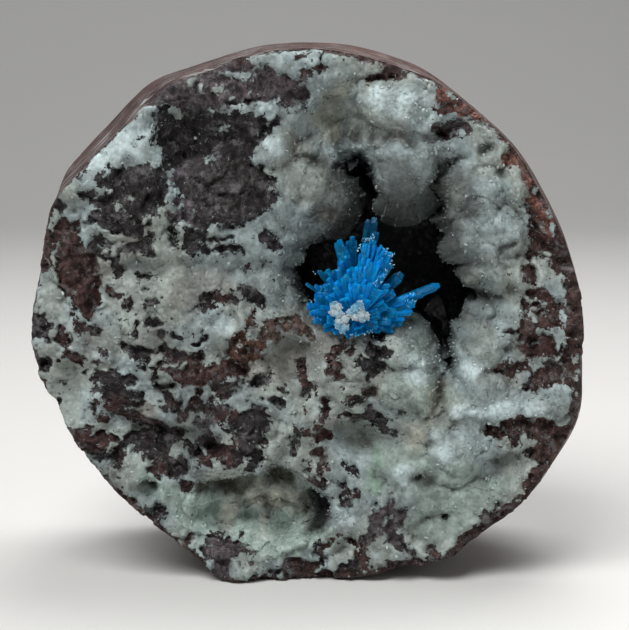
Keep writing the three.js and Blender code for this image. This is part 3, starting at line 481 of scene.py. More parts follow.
# Tints of the crust: colour, share at the middle, and strokes. Some are the crust's own colour, others
# painted shade or a painted highlight, as named.
crustTints = {
    "sageCrust": ((0.245, 0.298, 0.268), 0.7, [
        [(12.4, 27.4, 1.2)], [(16.6, 22, 1.2)],
        [(11, 14, 3), (16, 13.4, 3.4), (20, 10, 3.2), (15, 7.6, 3)], [(9.4, 24.4, 2), (12.6, 22.6, 2.6)],
        [(7, 17, 2)], [(-.6, 5.4, 2.4), (2.6, 5.2, 1.6)],
    ]),
    "whiteCrust": ((0.475, 0.565, 0.570), 0.85, [
        [(8.4, 56.6, 1.4), (11, 56.2, 2.4), (13, 54.6, 1.6)],
        [(-26, 48.6, .8), (-23, 51, 1.6), (-19.6, 53.4, 1.4)],
        [(-20, 50, 1.4)], [(-6, 52.6, .5), (-3.4, 51, .9)], [(-12.5, 46, .5)], [(-9.5, 30.6, 1.0)],
        [(5.6, 57.6, .8)],
        [(19, 25.6, 1.0)], [(12.6, 25.4, 1.6)], [(18, 20, 1.0), (22, 20.6, .9), (27, 20.4, .8)],
        [(16, 15.4, 1.0)],
        [(-27.6, 27.4, .9)], [(-10.8, 3.4, .7)], [(11, 13, 1.0)], [(3, 8.4, .8)], [(-24, 27.6, 1.0)],
        [(4.4, 6.6, .8)], [(8, 3.2, .6)], [(2, 20.6, .8)],
    ]),
    "softShade": ((0.130, 0.145, 0.138), 0.75, [
        [(10.4, 48.8, 1.8), (11, 44.4, 1.8)], [(17, 47, 2.0), (18.6, 44.6, 1.6)],
        [(16, 43, 1.2), (16.8, 40, 1.2)],
        [(.8, 43.4, 1.2), (3.6, 43, 1.4), (3.4, 40.6, 1.0)], [(3.4, 47.2, .8)], [(16.6, 49, 1.0)],
        [(4, 53, 1.4), (7.4, 53, 1.2)],
        [(17.8, 37, .9)], [(18.2, 34, .9)], [(-19.4, 20.8, .8), (-18.4, 19.8, .9)], [(-12, 33.6, .6)],
    ]),
    "beigeSeam": ((0.300, 0.300, 0.235), 0.6, [
        [(16.6, 23.6, .6), (15.2, 22.6, .8), (15.4, 21, .8), (14.6, 19.8, .7), (13, 17.5, 1.0),
        (12.4, 17, .8)],
        [(4.8, 58.4, .6), (4.2, 57.4, 1.0), (3, 56.2, 1.1), (2.2, 54.6, 1.5), (2.6, 53.4, 1.2)],
    ]),
    "mintGreen": ((0.335, 0.425, 0.385), 0.8, [
        [(-13.4, 8.6, 1.8), (-10.4, 7.4, 2.0)], [(-19, 12, 1.4), (-16, 10.4, 1.4), (-14, 7.6, 1.6)],
        [(-12, 5.6, 1.6), (-8, 5.2, 1.6), (-4, 4.6, 1.8), (0, 5.2, 1.4)],
    ]),
    "pocketStone": ((0.345, 0.368, 0.318), 0.85, [
        [(-9.4, 8.8, 1.4), (-6.6, 9.4, 2.2), (-3.6, 9.6, 2.6), (-1.4, 8.2, 1.6)],
    ]),
    # pale beige lumps in the pocket, with a painted highlight on their tops
    "paleLumpsPaintedHighlight": ((0.520, 0.515, 0.455), 0.8, [
        [(-7, 9, .9), (-6, 8, .7)], [(-4.2, 9.2, 1.1), (-3.4, 7.8, .9)], [(-1.9, 8.8, .6)],
        [(-9.4, 6.6, .8)], [(-5.6, 5.8, .6)],
    ]),
    "pocketShadow": ((0.050, 0.048, 0.037), 0.95, [
        [(-12.2, 11.2, .8), (-10.2, 10.8, 1.3), (-8.6, 10.8, 1.2), (-7.6, 11.4, .8)], [(-8.2, 9.4, .4)],
        [(-5, 12, .6), (-3.8, 12.4, 1.1), (-2.7, 12.4, 1.2), (-1.9, 11.5, .8)],
        [(-5.2, 8.6, .2), (-5, 7.2, .3)], [(-2.7, 8.2, .2)],
        [(-.2, 8.4, .3), (0, 6.8, .2)],
    ]),
    "greenTuft": ((0.185, 0.290, 0.205), 0.75, [
        [(7.4, 13.2, .5), (7.7, 12.2, .7), (7.9, 11.2, .5)], [(8.2, 15.2, .1), (8.3, 13.2, .2)],
    ]),
    # painted shade in hollows and gaps of the crust
    "paintedShadeInHollows": ((0.110, 0.122, 0.112), 0.7, [
        [(-1.8, 26.6, 1.5)], [(-2.6, 25.4, .9), (-1.2, 27.4, .8)], [(5.5, 17.4, 1.5), (7, 17, .8)],
        [(-14.6, 19.6, .9), (-13, 19.2, 1.4), (-12.2, 18.8, 1)], [(-23, 12.4, .9), (-22.6, 11.4, 1)],
        [(22.8, 13.6, 1.2), (24, 14, .8)], [(23.2, 39.6, .7), (22.2, 38.8, .6)],
        [(19, 33.8, .5), (21, 33.4, .5)],
        [(.4, 49.4, .6), (1.6, 49.1, .9), (3, 49, .7)], [(13.8, 12.2, .8)],
    ]),
    "brownStain": ((0.160, 0.142, 0.122), 0.55, [
        [(-1.6, 51.6, .8), (-1, 50.6, .6)], [(2.6, 43.3, .6)], [(10.8, 54, .7), (10.6, 52.4, .8)],
        [(13.7, 52.3, .5)],
        [(-20, 40.6, 2), (-24, 37, 1.6)], [(-14, 34.4, 2.0), (-10, 34.8, 1.6)], [(-19, 20.4, 1.2)],
        [(-18, 29, 2.2)], [(-24, 29, 1.6)], [(-3.4, 27.8, 1.4), (-2, 31, 1.2)],
        [(-6, 25, 1.6), (2, 28.4, 1.2)], [(8, 24.2, 1.2)], [(2.4, 19, 1.2)], [(24.6, 34.6, .8)],
        [(24, 24, 1)],
    ]),
}
# Red-brown ground colour of the basalt, and where it shows.
rustyRock = (0.062, 0.030, 0.026)
rustyPlaces = [
    [(-27, 17, 2.4), (-20, 16.6, 2.6), (-14, 17, 2), (-8, 17, 3.4)], [(-16, 24, 2.6), (-11, 25, 3)],
    [(-23, 22, 1.4)], [(-28, 30, 2), (-25, 24, 1.6)], [(-16, 13, 2)], [(-30, 36, 4), (-24, 33, 2)],
    [(2, 24, 3), (4, 16, 3), (5, 8, 4)],
    [(12, 3, 4)], [(28, 38, 5), (28, 26, 5), (25, 14, 5)], [(20, 53, 4)], [(-8, 34, 3)],
]
# Deep narrow gaps between lobes: depth, darkness of the painted shade inside, and strokes.
clefts = [
    (5.5, 1.0, [
        [(15.4, 30.8, 1.7), (16.2, 29, 1.1), (16.4, 27.4, .6), (16.8, 25.6, .45), (17, 24.6, .2)],
    ]),
    (3.4, 0.95, [[(6.0, 49.9, .6), (6.3, 48.5, 1.2), (6.7, 46, 1.3), (6.8, 43.6, 1.5)]]),
    (2.4, 0.8, [[(3.3, 48.9, .3), (5, 48.8, .7)], [(15.2, 45, .3), (15.6, 43.8, .7)]]),
    (1.1, 0.3, [
        [(14.8, 47.4, .3), (16.6, 49.4, .5), (18, 50.1, .2)], [(18.6, 33.8, .5), (21, 33.6, .3)],
        [(-1, 49.7, .2), (1.6, 49.3, .5)], [(5.6, 51.8, .3), (6.2, 53.4, .3)],
        [(22.6, 39.4, .3), (23.6, 40.2, .2)], [(-20, 11.4, .1), (-19, 11.3, .3), (-18.2, 11.1, .2)],
    ]),
    (1.2, 0.7, [
        [(19.8, 51.1, .3), (20.8, 51.4, .3)], [(16.2, 7.5, .25)], [(22.6, 9.5, .3)], [(13, 12.4, .2)],
        [(-17.7, 23.2, .4), (-16.2, 23.3, .4)], [(-6.6, 49.2, .3)],
    ]),
    (1.4, 0.99, [[(.6, 9.4, .5), (1.5, 8.6, .9), (1.9, 7.4, .9), (1.1, 6.2, .8), (.2, 5.6, .4)]]),
    (1.0, 0.3, [
        [(-20.4, 18.1, .2), (-17, 18.3, .3), (-15, 17.7, .2)], [(24, 34.6, .3)], [(10.8, 20.2, .3)],
        [(14.4, 20, .2), (15.4, 22, .3), (16.6, 23.6, .2)], [(22.4, 17, .3)],
    ]),
]
# Where the druse grows in lobes from a lower ground.
druseGround = [
    [(-1.5, 46, 2.6), (0.5, 52.5, 3.0), (6, 55.5, 4.6), (12, 55, 4.2), (19, 49.5, 4.0), (21.5, 43, 4.0),
        (21, 36, 3.4), (20.5, 29.5, 4.2), (13.5, 25.5, 4.0), (17.5, 19, 4.6), (19, 12, 5.0), (14, 7, 4.0)],
]
# Width of the rim left bare of crust, by direction in degrees from the outline's middle.
rimBand = [
    (-90, .6), (-70, .8), (-50, 1.0), (-30, 1.3), (-10, 1.2), (10, 1.3), (25, .8), (40, .5), (60, .3),
    (90, .3), (115, .2), (150, .1), (165, .3), (190, .3), (205, .3), (220, .4), (235, .5), (250, .4),
]

hollow = {
    # middle of the main hollow, then its mouth and the edge of its crust by direction in degrees
    "x": 10.0,
    "z": 37.0,
    "mouth": [
        (0, 7.9), (20, 7.1), (40, 7.2), (52, 8.0), (58, 9.6), (62, 10.6), (66, 9.8), (71, 7.3), (78, 6.5),
        (87, 6.4), (96, 6.9), (102, 8.0), (106, 10.2), (110, 13.0), (114, 13.2), (118, 10.2), (124, 7.8),
        (132, 7.0), (145, 6.8), (160, 8.5), (170, 11), (180, 11.6), (190, 11.6),
        (205, 11.2), (225, 9.5), (245, 7.5), (270, 7.0), (286, 7.8), (298, 11.8), (308, 10.4), (318, 10.9),
        (330, 10.6), (345, 9.6),
    ],
    "edge": [
        (0, 15.5), (15, 16.3), (30, 17.1), (40, 17.6), (51, 19.2), (65, 19.4), (77, 21.8), (90, 21.6),
        (104, 24), (116, 22.2), (130, 20.9), (139, 20.4), (147, 17.4), (156, 14.9), (167, 14.2),
        (180, 15.0),
        (190, 15.2), (201, 15.2), (213, 14.8), (226, 13.8), (240, 12.6), (255, 13.6), (267, 17), (278, 22),
        (288, 27), (298, 30), (306, 27.5), (312, 25.5), (319, 26), (325, 22), (333, 17), (347, 15.2),
    ],
    "meanMouth": 8.9,
    # how far the crust slopes in at the mouth, and over what distance the slope fades
    "dish": [
        (0, 5.4), (30, 5.6), (60, 6.6), (90, 6.8), (125, 7.4), (150, 7.4), (175, 6), (195, 5), (225, 4),
        (270, 3.6), (300, 5), (330, 5.2),
    ],
    "dishReach": [
        (0, 3.4), (30, 4), (60, 4.6), (90, 5.4), (125, 6), (150, 4.6), (175, 3), (195, 2.4), (225, 2),
        (270, 2.4), (300, 2.4), (330, 3),
    ],
    "lip": 0.8,
    # behind the mouth: share of the mouth's own shape, distance outside it, depth
    "throat": [(1, 0.3, 8.0), (0.85, 0.7, 9.8), (0.5, 2.2, 12.4), (0.3, 0.6, 15.8), (0.1, -3.4, 17.8)],
    "floor": 18.4,
    "paintedShadingByDepth": ((0.6, 2.5, 5.0, 7.0, 9.0, 12.0), (1.0, 0.86, 0.50, 0.20, 0.05, 0.015)),  # painted shade: lightness by depth, darker deeper in the hollow
    "lumps": 0.35,  # share of the lumps' height left inside the mouth
    "creases": 0.85,  # how much painted shade darkens the gaps between lumps
    "wall": 1.3,  # crust behind its visible skin
    "columns": 560,
    "rows": (102, 9, 9, 11, 11, 7, 4),  # over the collar, then between the stations of the throat
}
pocketMouth = [
    (0, 8.2), (35, 5.9), (60, 5.3), (78, 4.6), (94, 4.1), (130, 4.6), (160, 7.0), (185, 8.0), (215, 5.6),
    (250, 4.2), (290, 4.2), (325, 5.6),
]
pocket = {
    "x": -5.6,
    "z": 8.8,
    "mouth": pocketMouth,
    "edge": [(direction, radius + 2.2) for direction, radius in pocketMouth],
    "meanMouth": 5.7,
    "dish": [(0, 1.8), (50, 0.8), (90, 0.5), (140, 0.8), (180, 2.2), (230, 2.6), (300, 2.4)],
    "dishReach": [(0, 1.4), (90, 0.8), (180, 1.6), (230, 2.4), (300, 2.2)],
    "lip": 0.5,
    "throat": [(1, -0.2, 3.4), (0.9, -0.6, 5.6), (0.8, -2.6, 7.2)],
    "floor": 7.6,
    # painted light: the pocket's crust is made lighter deeper in
    "paintedShadingByDepth": ((1.0, 4.0, 7.0), (1.05, 1.25, 1.35)),
    "lumps": 0.85,
    "creases": 0.4,
    "wall": 0.7,
    "columns": 230,
    "rows": (26, 10, 14, 14, 16),
}
hollows = (hollow, pocket)

texture = {
    "lumps": ((2.5, 0.85), (1.25, 0.36), (0.60, 0.16)),  # size and height of the druse's lumps on lumps
    "faces": ((3.4, 0.70), (1.5, 0.44), (0.65, 0.18)),  # and of the rock's broken faces on faces
    "lobeRise": 1.15,  # height of the lobes, as a share of what is listed
    "ground": 1.1,  # the lobes' ground lies this far behind the face
    "rockSink": 0.3,  # bare basalt lies this far under the crust's edge
    "swell": (7.5, 0.75),  # length and height of the whole face's long waves
    "calm": (0.85, 0.8),  # share of the coarse and of the finer lumps missing in smooth places
    "pitSpacing": 4.6,
    "pitDepth": 1.3,
    "pitSize": (0.20, 0.14),  # least half width and what chance adds, as shares of the spacing
    "pitless": 0.55,  # share of the places without a pit
    "softLimit": 0.35,  # the proudest places are rounded off over this height
    "gapReach": 0.85,  # how far round about a gap is looked for
}

crustColour = {
    "bright": (0.296, 0.356, 0.358),
    "dull": (0.190, 0.224, 0.219),
    "cream": (0.290, 0.312, 0.276),
    # painted shade in the gaps, with some dirt
    "paintedCreviceShadeAndDirt": (0.122, 0.122, 0.108),
}
finish = {
    "tones": (("dull", 5, 0.75, 41), ("cream", 4.2, 0.6, 42)),  # the crust's tones: size, share and seed
    "stray": 0.5,  # how far the patches' edges stray
    "edgeGrain": 0.22,  # and their fine raggedness
    "blendWidth": 0.8,  # two patches' colours blend over this width
    "rustShare": 0.85,
    "rustLimit": 0.06,  # rock lighter than this does not rust
    "rustLevel": 0.034,  # lightness of the rock at which rust has the colour that is listed
    "shardSpacing": 1.9,  # small scattered shards of rock in the crust
    "shardSize": 0.42,
    "shardless": 0.72,  # share of the places without one
    "shardGap": (3, 26),  # no shards between these x
    "mottle": (0.16, 0.35),  # of crust and rock
    "gapShare": (0.7, 0.45),  # how much painted shade darkens the gaps in crust and rock
    "cleftShare": 0.95,  # and how much painted shade darkens the clefts in both
}


# A crust's edge by direction, kept clear of the sawn sides.
def crustEdge(pit, degrees):
    sawn = outlineReach(np.radians(degrees), sawing["rimDepth"], pit["x"], pit["z"])
    return np.minimum(radiusBy(pit["edge"], degrees), sawn - sawing["crustClear"])


# Distance and direction from a hollow's middle, and its mouth and crust edge in that direction.
def aboutHollow(x, z, pit):
    far = np.hypot(x - pit["x"], z - pit["z"])
    degrees = np.degrees(np.arctan2(z - pit["z"], x - pit["x"])) % 360
    return far, degrees, radiusBy(pit["mouth"], degrees), crustEdge(pit, degrees)


# Depth of the slope round a hollow: its depth at the mouth, fading by e for each reach outside.
def dishDepth(far, degrees, mouth, pit):
    outside = np.maximum(far - mouth, -0.2) / radiusBy(pit["dishReach"], degrees)
    return radiusBy(pit["dish"], degrees) * np.exp(-outside)


# Share of a patch's colour: how much deeper inside it a place lies than inside the ones before it.
def overlap(inside, bare):
    return ease((inside - np.maximum(bare, -1.5)) / finish["blendWidth"] + 0.5)


# Rock of the face: how far inside bare rock each place lies, in mm, and the rock's colour. The patches
# are laid one over another, then rust, shards, veins of crust over the rock, and the bare rim. The
# places stray by noise first, so that the patches' edges are ragged.
def rockFinish(x, z):
    p = onFace(x, z)
    sx = x + finish["stray"] * (rough(p, 2.2, 3, 5) + 0.5 * softNoise(p, 0.5, 9))
    sz = z + finish["stray"] * (rough(p, 2.2, 3, 6) + 0.5 * softNoise(p, 0.5, 8))
    bare = np.full(len(x), -9.0)
    rock = np.tile(patches["charcoalBasalt"][0], (len(x), 1))
    for colour, strokes in patches.values():
        inside = strokeDepth(sx, sz, strokes)
        rock = blend(rock, colour, overlap(inside, bare))
        bare = np.maximum(bare, inside)
    level = rock.mean(1, keepdims=True)
    rust = ease(strokeDepth(x, z, rustyPlaces) / 2.5 + 0.8) * ease(0.55 + 1.1 * rough(p, 3.4, 3, 56))
    rust = finish["rustShare"] * (rust * (level[:, 0] < finish["rustLimit"]))
    rock = blend(rock, np.array(rustyRock) * level / finish["rustLevel"], rust)

    near, numbers, _ = grains(onFace(sx, sz), finish["shardSpacing"], 71)
    size = finish["shardSize"] * numbers[:, 1] * (numbers[:, 0] > finish["shardless"])
    shard = size - finish["shardSpacing"] * near + 0.1
    first, last = finish["shardGap"]
    shard = np.where((sx < first) | (sx > last), shard, -9)
    shard = shard - 2.4 * ease(strokeDepth(x, z, druseGround) / 1.5 + 1)
    bare = np.maximum(bare, shard)
    bare = np.minimum(bare, -strokeDepth(sx, sz, crustOverRock))

    angle = np.arctan2(z - sawing["gridZ"], x - sawing["gridX"])
    inFrom = outlineReach(angle, sawing["rimDepth"]) - np.hypot(x - sawing["gridX"], z - sawing["gridZ"])
    turned = np.degrees(np.arctan2(z - layout["midHeight"], x)) % 360
    rim = radiusBy(rimBand, turned) * (1 + 0.9 * rough(p, 2.6, 3, 77)) - inFrom
    rock = blend(rock, patches["redBasalt"][0], overlap(rim, bare))
    bare = np.maximum(bare, rim) + finish["edgeGrain"] * rough(p, 0.9, 2, 3)
    return bare, rock * (1 + finish["mottle"][1] * rough(p, 1.1, 3, 53)[:, None])


# Crust of the face: the bright tone, blended by noise into the duller and the creamier one, then into
# each listed tint within its strokes.
def crustFinish(x, z):
    p = onFace(x, z)
    crust = np.tile(crustColour["bright"], (len(x), 1))
    for tone, size, share, seed in finish["tones"]:
        crust = blend(crust, crustColour[tone], share * ease(0.45 + 0.95 * rough(p, size, 3, seed)))
    stray = 0.35 * rough(p, 1.6, 2, 43)
    for colour, share, strokes in crustTints.values():
        crust = blend(crust, colour, share * ease(strokeDepth(x, z, strokes) / 1.6 + 0.55 + stray))
    return crust * (1 + finish["mottle"][0] * rough(p, 1.3, 3, 47)[:, None])


# Finer lumps of crust and splintered rock, mixed by how far inside bare rock the place is.
def faceTexture(p, bare):
    crust = sum(high * knobs(p, size, 86 + 5 * n) for n, (size, high) in enumerate(texture["lumps"][1:]))
    crust *= 1 - texture["calm"][1] * ease(strokeDepth(p[:, 0], p[:, 2], calmPlaces) + 0.5)
    rock = sum(high * splinters(p, size, 91 + 5 * n) for n, (size, high) in enumerate(texture["faces"]))
    share = ease(bare / 0.5 + 0.5)
    return crust * (1 - share) + (rock - texture["rockSink"]) * share


# Coarse height of the face: plates, long waves, lobes on their lower ground and coarse lumps, less
# rounded pits and clefts.
def broadHeight(x, z, deep=0):
    p = onFace(x, z, deep)
    sx, sz = x + 0.5 * rough(p, 2.4, 2, 33), z + 0.5 * rough(p, 2.4, 2, 35)
    length, high = texture["swell"]
    height = plateHeight(x, z, plates) + high * rough(p, length, 2, 31)
    ground = texture["ground"] * ease(strokeDepth(x, z, druseGround) / 1.6)
    height += texture["lobeRise"] * lobeHeight(sx, sz, lobes) - ground
    calm = texture["calm"][0] * ease(strokeDepth(x, z, calmPlaces) + 0.5)
    size, high = texture["lumps"][0]
    height += high * (knobs(p, size, 81) - 0.5) * (1 - calm)
    near, numbers, _ = grains(p, texture["pitSpacing"], 87)
    least, chance = texture["pitSize"]
    pit = ease((least + chance * numbers[:, 2] - near) / 0.24 + 0.5)
    height -= texture["pitDepth"] * numbers[:, 1] * (numbers[:, 0] > texture["pitless"]) * pit
    for depth, _, strokes in clefts:
        height -= depth * ease(strokeDepth(sx, sz, strokes) / 0.9 + 0.55)
    return height


# Painted shade of the gaps, 0 on top to 1 in the depths: how far the coarse height lies below its mean
# round about. Also the painted shade of the clefts.
def gapShade(x, z, deep=0):
    reach = texture["gapReach"]
    steps = ((reach, 0), (-reach, 0), (0, reach), (0, -reach))
    around = sum(broadHeight(x + dx, z + dz, deep) for dx, dz in steps) / 4
    cleftShade = [darkness * ease(strokeDepth(x, z, strokes) + 0.5) for _, darkness, strokes in clefts]
    return ease(around - broadHeight(x, z, deep)), np.max(cleftShade, axis=0)


# Depth of the broken face behind the front plane: the slopes round the hollows, less plates, lobes,
# long waves and texture, held behind the proudest level by a soft limit.
def faceDepth(x, z, bare, deep=0):
    height = broadHeight(x, z, deep) + faceTexture(onFace(x, z, deep), bare)
    dish = 0
    for pit in hollows:
        far, degrees, mouth, _ = aboutHollow(x, z, pit)
        height = height * (pit["lumps"] + (1 - pit["lumps"]) * ease((far - mouth + 0.6) / 1.6))
        dish = dish + dishDepth(far, degrees, mouth, pit)
    top, soft = layout["proudest"] - 0.2, texture["softLimit"]
    return dish - (top - np.logaddexp(0, (top - height) / soft) * soft)


# Painted shade: crust and rock darkened in the gaps and clefts. In the gaps the crust turns towards a
# colour of shade with some dirt.
def shaded(crust, rock, gap, cleftShade):
    inCrust, inRock = finish["gapShare"]
    dark = (1 - finish["cleftShare"] * cleftShade)[:, None]
    crust = blend(crust, crustColour["paintedCreviceShadeAndDirt"], inCrust * gap)
    return crust * dark, rock * (1 - inRock * gap[:, None]) * dark


# A mesh object from points in metres, lists of faces and values at the points. The faces are turned
# outwards by the sign of the volume: the sum of a . (b x c) over their triangles.
def makePiece(name, points, faces, colours=None, values=None, smooth=True):
    volume = 0.0
    for face in faces:
        for k in range(1, face.shape[1] - 1):
            a, b, c = points[face[:, 0]], points[face[:, k]], points[face[:, k + 1]]
            volume += (a * np.cross(b, c)).sum()
    if volume < 0:
        faces = [face[:, ::-1] for face in faces]
    sizes = np.concatenate([np.full(len(face), face.shape[1]) for face in faces])
    corners = np.concatenate([face.ravel() for face in faces])
    mesh = bpy.data.meshes.new(name)
    mesh.vertices.add(len(points))
    mesh.vertices.foreach_set("co", points.astype(np.float32).ravel())
    mesh.loops.add(len(corners))
    mesh.loops.foreach_set("vertex_index", corners.astype(np.int32))
    mesh.polygons.add(len(sizes))
    mesh.polygons.foreach_set("loop_start", (np.cumsum(sizes) - sizes).astype(np.int32))
    mesh.update(calc_edges=True)
    mesh.polygons.foreach_set("use_smooth", np.zeros(len(sizes), bool) | smooth)
    for key, data in (colours or {}).items():
        rgba = np.ones((len(points), 4), np.float32)
        rgba[:, :3] = np.clip(data, 0.001, 1)
        mesh.attributes.new(key, "FLOAT_COLOR", "POINT").data.foreach_set("color", rgba.ravel())
    for key, data in (values or {}).items():
        mesh.attributes.new(key, "FLOAT", "POINT").data.foreach_set("value", data.astype(np.float32))
    mesh.update()
    piece = bpy.data.objects.new(name, mesh)
    bpy.context.collection.objects.link(piece)
    return piece


# A square grid folded onto a disc: the larger of |u| and |v| is the radius, and the share along that
# side of the square gives the angle. Also its quads, and its rim in turning order.
def discGrid(n):
    axis = np.linspace(-1, 1, n + 1)
    u, v = (g.ravel() for g in np.meshgrid(axis, axis))
    flat = np.abs(u) >= np.abs(v)
    lead = np.where(flat, u, v)
    safe = np.where(lead == 0, 1, lead)
    angle = np.where(flat, 0.25 * math.pi * v / safe, 0.5 * math.pi - 0.25 * math.pi * u / safe)
    angle = angle + math.pi * (lead < 0)
    grid = np.arange((n + 1) ** 2).reshape(n + 1, n + 1)
    rim = np.concatenate([grid[0, :-1], grid[:-1, -1], grid[-1, :0:-1], grid[:0:-1, 0]])
    return np.abs(lead), angle, gridFaces(grid), rim


# Quads of a grid of point numbers.
def gridFaces(grid):
    return np.stack([grid[:-1, :-1], grid[:-1, 1:], grid[1:, 1:], grid[1:, :-1]], -1).reshape(-1, 4)


# Quads between two rings of equal length.
def bandFaces(a, b):
    return np.stack([a, np.roll(a, -1), np.roll(b, -1), b], -1)


# Triangles from a fine ring to a coarse one: each coarse edge takes a fan of fine ones.
def fanFaces(fine, coarse):
    ratio = len(fine) // len(coarse)
    half = ratio // 2
    base = np.arange(len(coarse)) * ratio
    after = np.roll(coarse, -1)
    steps = [fine[(base + k) % len(fine)] for k in range(ratio + 1)]
    fans = [np.stack([steps[k], steps[k + 1], coarse if k < half else after], -1) for k in range(ratio)]
    return np.concatenate([*fans, np.stack([steps[half], after, coarse], -1)])


basalt = {
    "grid": 264,  # cells across the broken face
    "backGrid": 88,  # a third of that
    "crowding": 0.93,  # below 1 the face's cells are smaller towards its rim
    "rimRound": 0.55,  # the face's edge is worn to this radius
    "rimChips": 0.45,  # and chipped by up to this much
    "chipSize": 5.5,
    "holeMargin": 1.2,  # the room for a crust is wider than its hollow by this much
    "holeDepth": 18.8,
    "underCrust": 1.5,  # outside the hollow the stone lies this far under the crust
    "behindFloor": 2.6,  # no room goes further than this behind the main hollow's floor
    "wallRows": 28,
    "sawMarks": 0.05,
    "footTurn": 0.22,  # the foot's half width, as an angle from straight down in radians
    "backDome": 2.4,  # the back's edge lies this far in front of its middle
    "backRough": 1.0,
    "backFaces": ((7.0, 0.8), (3.0, 0.6)),  # size and height of the back's broken faces
    "sideRock": ((0.078, 0.038, 0.031), (0.060, 0.037, 0.034)),  # right and left
    "backRock": ((0.040, 0.037, 0.038), (0.082, 0.042, 0.033)),  # plain and rusty
    "backSawn": 0.4,  # 1 where the stone is sawn, 0 on the broken face, and between on the back
}


# Radii of a hollow's throat behind its mouth: for each station a share of the mouth's own shape, the
# rest of the mean mouth, and what is added outside.
def throatReach(mouth, pit):
    return [own * mouth + (1 - own) * pit["meanMouth"] + out for own, out, _ in pit["throat"]]


# Extra depth of the stone where a crust lies on it: nothing outside the crust's edge, then under the
# crust's skin, and in the middle a hole wider than the hollow.
def roomDepth(x, z):
    total = 0
    for pit in hollows:
        far, _, mouth, edge = aboutHollow(x, z, pit)
        widest = np.maximum.reduce([mouth, *throatReach(mouth, pit)])
        hole = np.minimum(widest + basalt["holeMargin"] * min(1, pit["wall"]), edge - 0.7)
        under = basalt["underCrust"] * ease((edge - far - 0.45) / 0.6)
        deep = basalt["holeDepth"] * min(1, pit["floor"] / 18) * ease((hole - far) / 0.7 + 0.5)
        total = np.maximum(total, under + deep)
    return total


# The broken face: a disc grid stretched to the outline and set back by the face's depth and by the rooms
# for the crusts, its edge rounded by an arc and chipped by noise.
def stoneFace(radius, angle):
    c, s = np.cos(angle), np.sin(angle)
    chips = rough(onFace(30 * c, 30 * s), basalt["chipSize"], 4, 61)
    chips = basalt["rimChips"] * np.clip(chips + 0.05, 0, 1)
    reach = outlineReach(angle, sawing["rimDepth"]) - chips
    share = radius ** basalt["crowding"]
    x = sawing["gridX"] + c * reach * share
    z = sawing["gridZ"] + s * reach * share
    bare, rock = rockFinish(x, z)
    crust, rock = shaded(crustFinish(x, z), rock, *gapShade(x, z))
    room = roomDepth(x, z)
    depth = faceDepth(x, z, bare) + room
    depth = np.where(room > 3, np.minimum(depth, hollow["floor"] + basalt["behindFloor"]), depth)
    inFrom = reach * (1 - share)
    inset = np.clip(1 - inFrom / basalt["rimRound"], 0, 1)
    depth = depth + basalt["rimRound"] * (1 - np.sqrt(1 - 0.96 * inset**2))
    depth = depth + 0.6 * chips * ease(1 - inFrom / 2.5)
    return x, depth, z, chips, room, bare, rock, crust


# The sawn sides: rings of the outline from the face's rim to the back's, closer together near the face,
# with shallow saw marks and the rim's chips, and left exact where the stone stands.
def sideRings(angle, front, chips):
    last = layout["depth"] - basalt["backDome"] - 0.35
    right, left = np.array(basalt["sideRock"])
    c, s = np.cos(angle), np.sin(angle)
    onFoot = np.abs(angle % (2 * math.pi) - 1.5 * math.pi) < basalt["footTurn"]
    for t in np.linspace(0, 1, basalt["wallRows"]) ** 1.6:
        level = front + 0.25 + (last - front) * t
        around = np.stack([30 * c, level, 30 * s], -1)
        saw = basalt["sawMarks"] * rough(around, 4, 2, 63) + 0.10 * np.minimum(0, rough(around, 6, 3, 65))
        exact = outlineReach(angle, level)
        worn = exact - chips * ease(1 - (level - front) / 1.6) - 0.06 + np.minimum(saw, basalt["sawMarks"])
        reach = np.where(onFoot, exact, worn)
        x = sawing["gridX"] + c * reach
        z = sawing["gridZ"] + s * reach
        yield placed(x, level, np.maximum(z, 0)), blend(right, left, ease(0.4 - x / 24))


# The back: a low dome, broken by tilted faces that fade out towards its edge, with rusty places.
def stoneBack(radius, angle):
    reach = outlineReach(angle, layout["depth"] - basalt["backDome"]) - 0.5
    x = sawing["gridX"] + np.cos(angle) * reach * radius
    z = sawing["gridZ"] + np.sin(angle) * reach * radius
    p = onFace(x, z, 40)
    out = np.hypot(x, z - layout["midHeight"]) / layout["midHeight"]
    uneven = basalt["backRough"] * (0.5 - 0.5 * rough(p, 8, 3, 67))
    fall = basalt["backDome"] * ease(out - 0.15) + uneven * ease(2.2 - 2 * out)
    steps = sum(high * splinters(p, size, 68 + n) for n, (size, high) in enumerate(basalt["backFaces"]))
    steps = steps + 0.35 * rough(p, 1.7, 2, 70)
    fall += (0.7 - 0.5 * steps) * ease(3 - 3 * out)
    depth = layout["depth"] - layout["backRecess"] - np.maximum(fall, 0.02)
    plain, rusty = np.array(basalt["backRock"])
    rust = ease(0.5 + 1.6 * rough(p, 9, 4, 74))[:, None]
    stone = plain * (1 - rust) + rusty * rust
    return placed(x, depth, np.maximum(z, 0.02)), stone * (1 + 0.45 * rough(p, 3.5, 4, 73)[:, None])


# Finish of the sides and the back: bare rock throughout, sawn by a share.
def bareFinish(stone, sawn):
    count = len(stone)
    return np.full(count, 2.0), stone, np.tile(crustColour["dull"], (count, 1)), np.full(count, sawn)


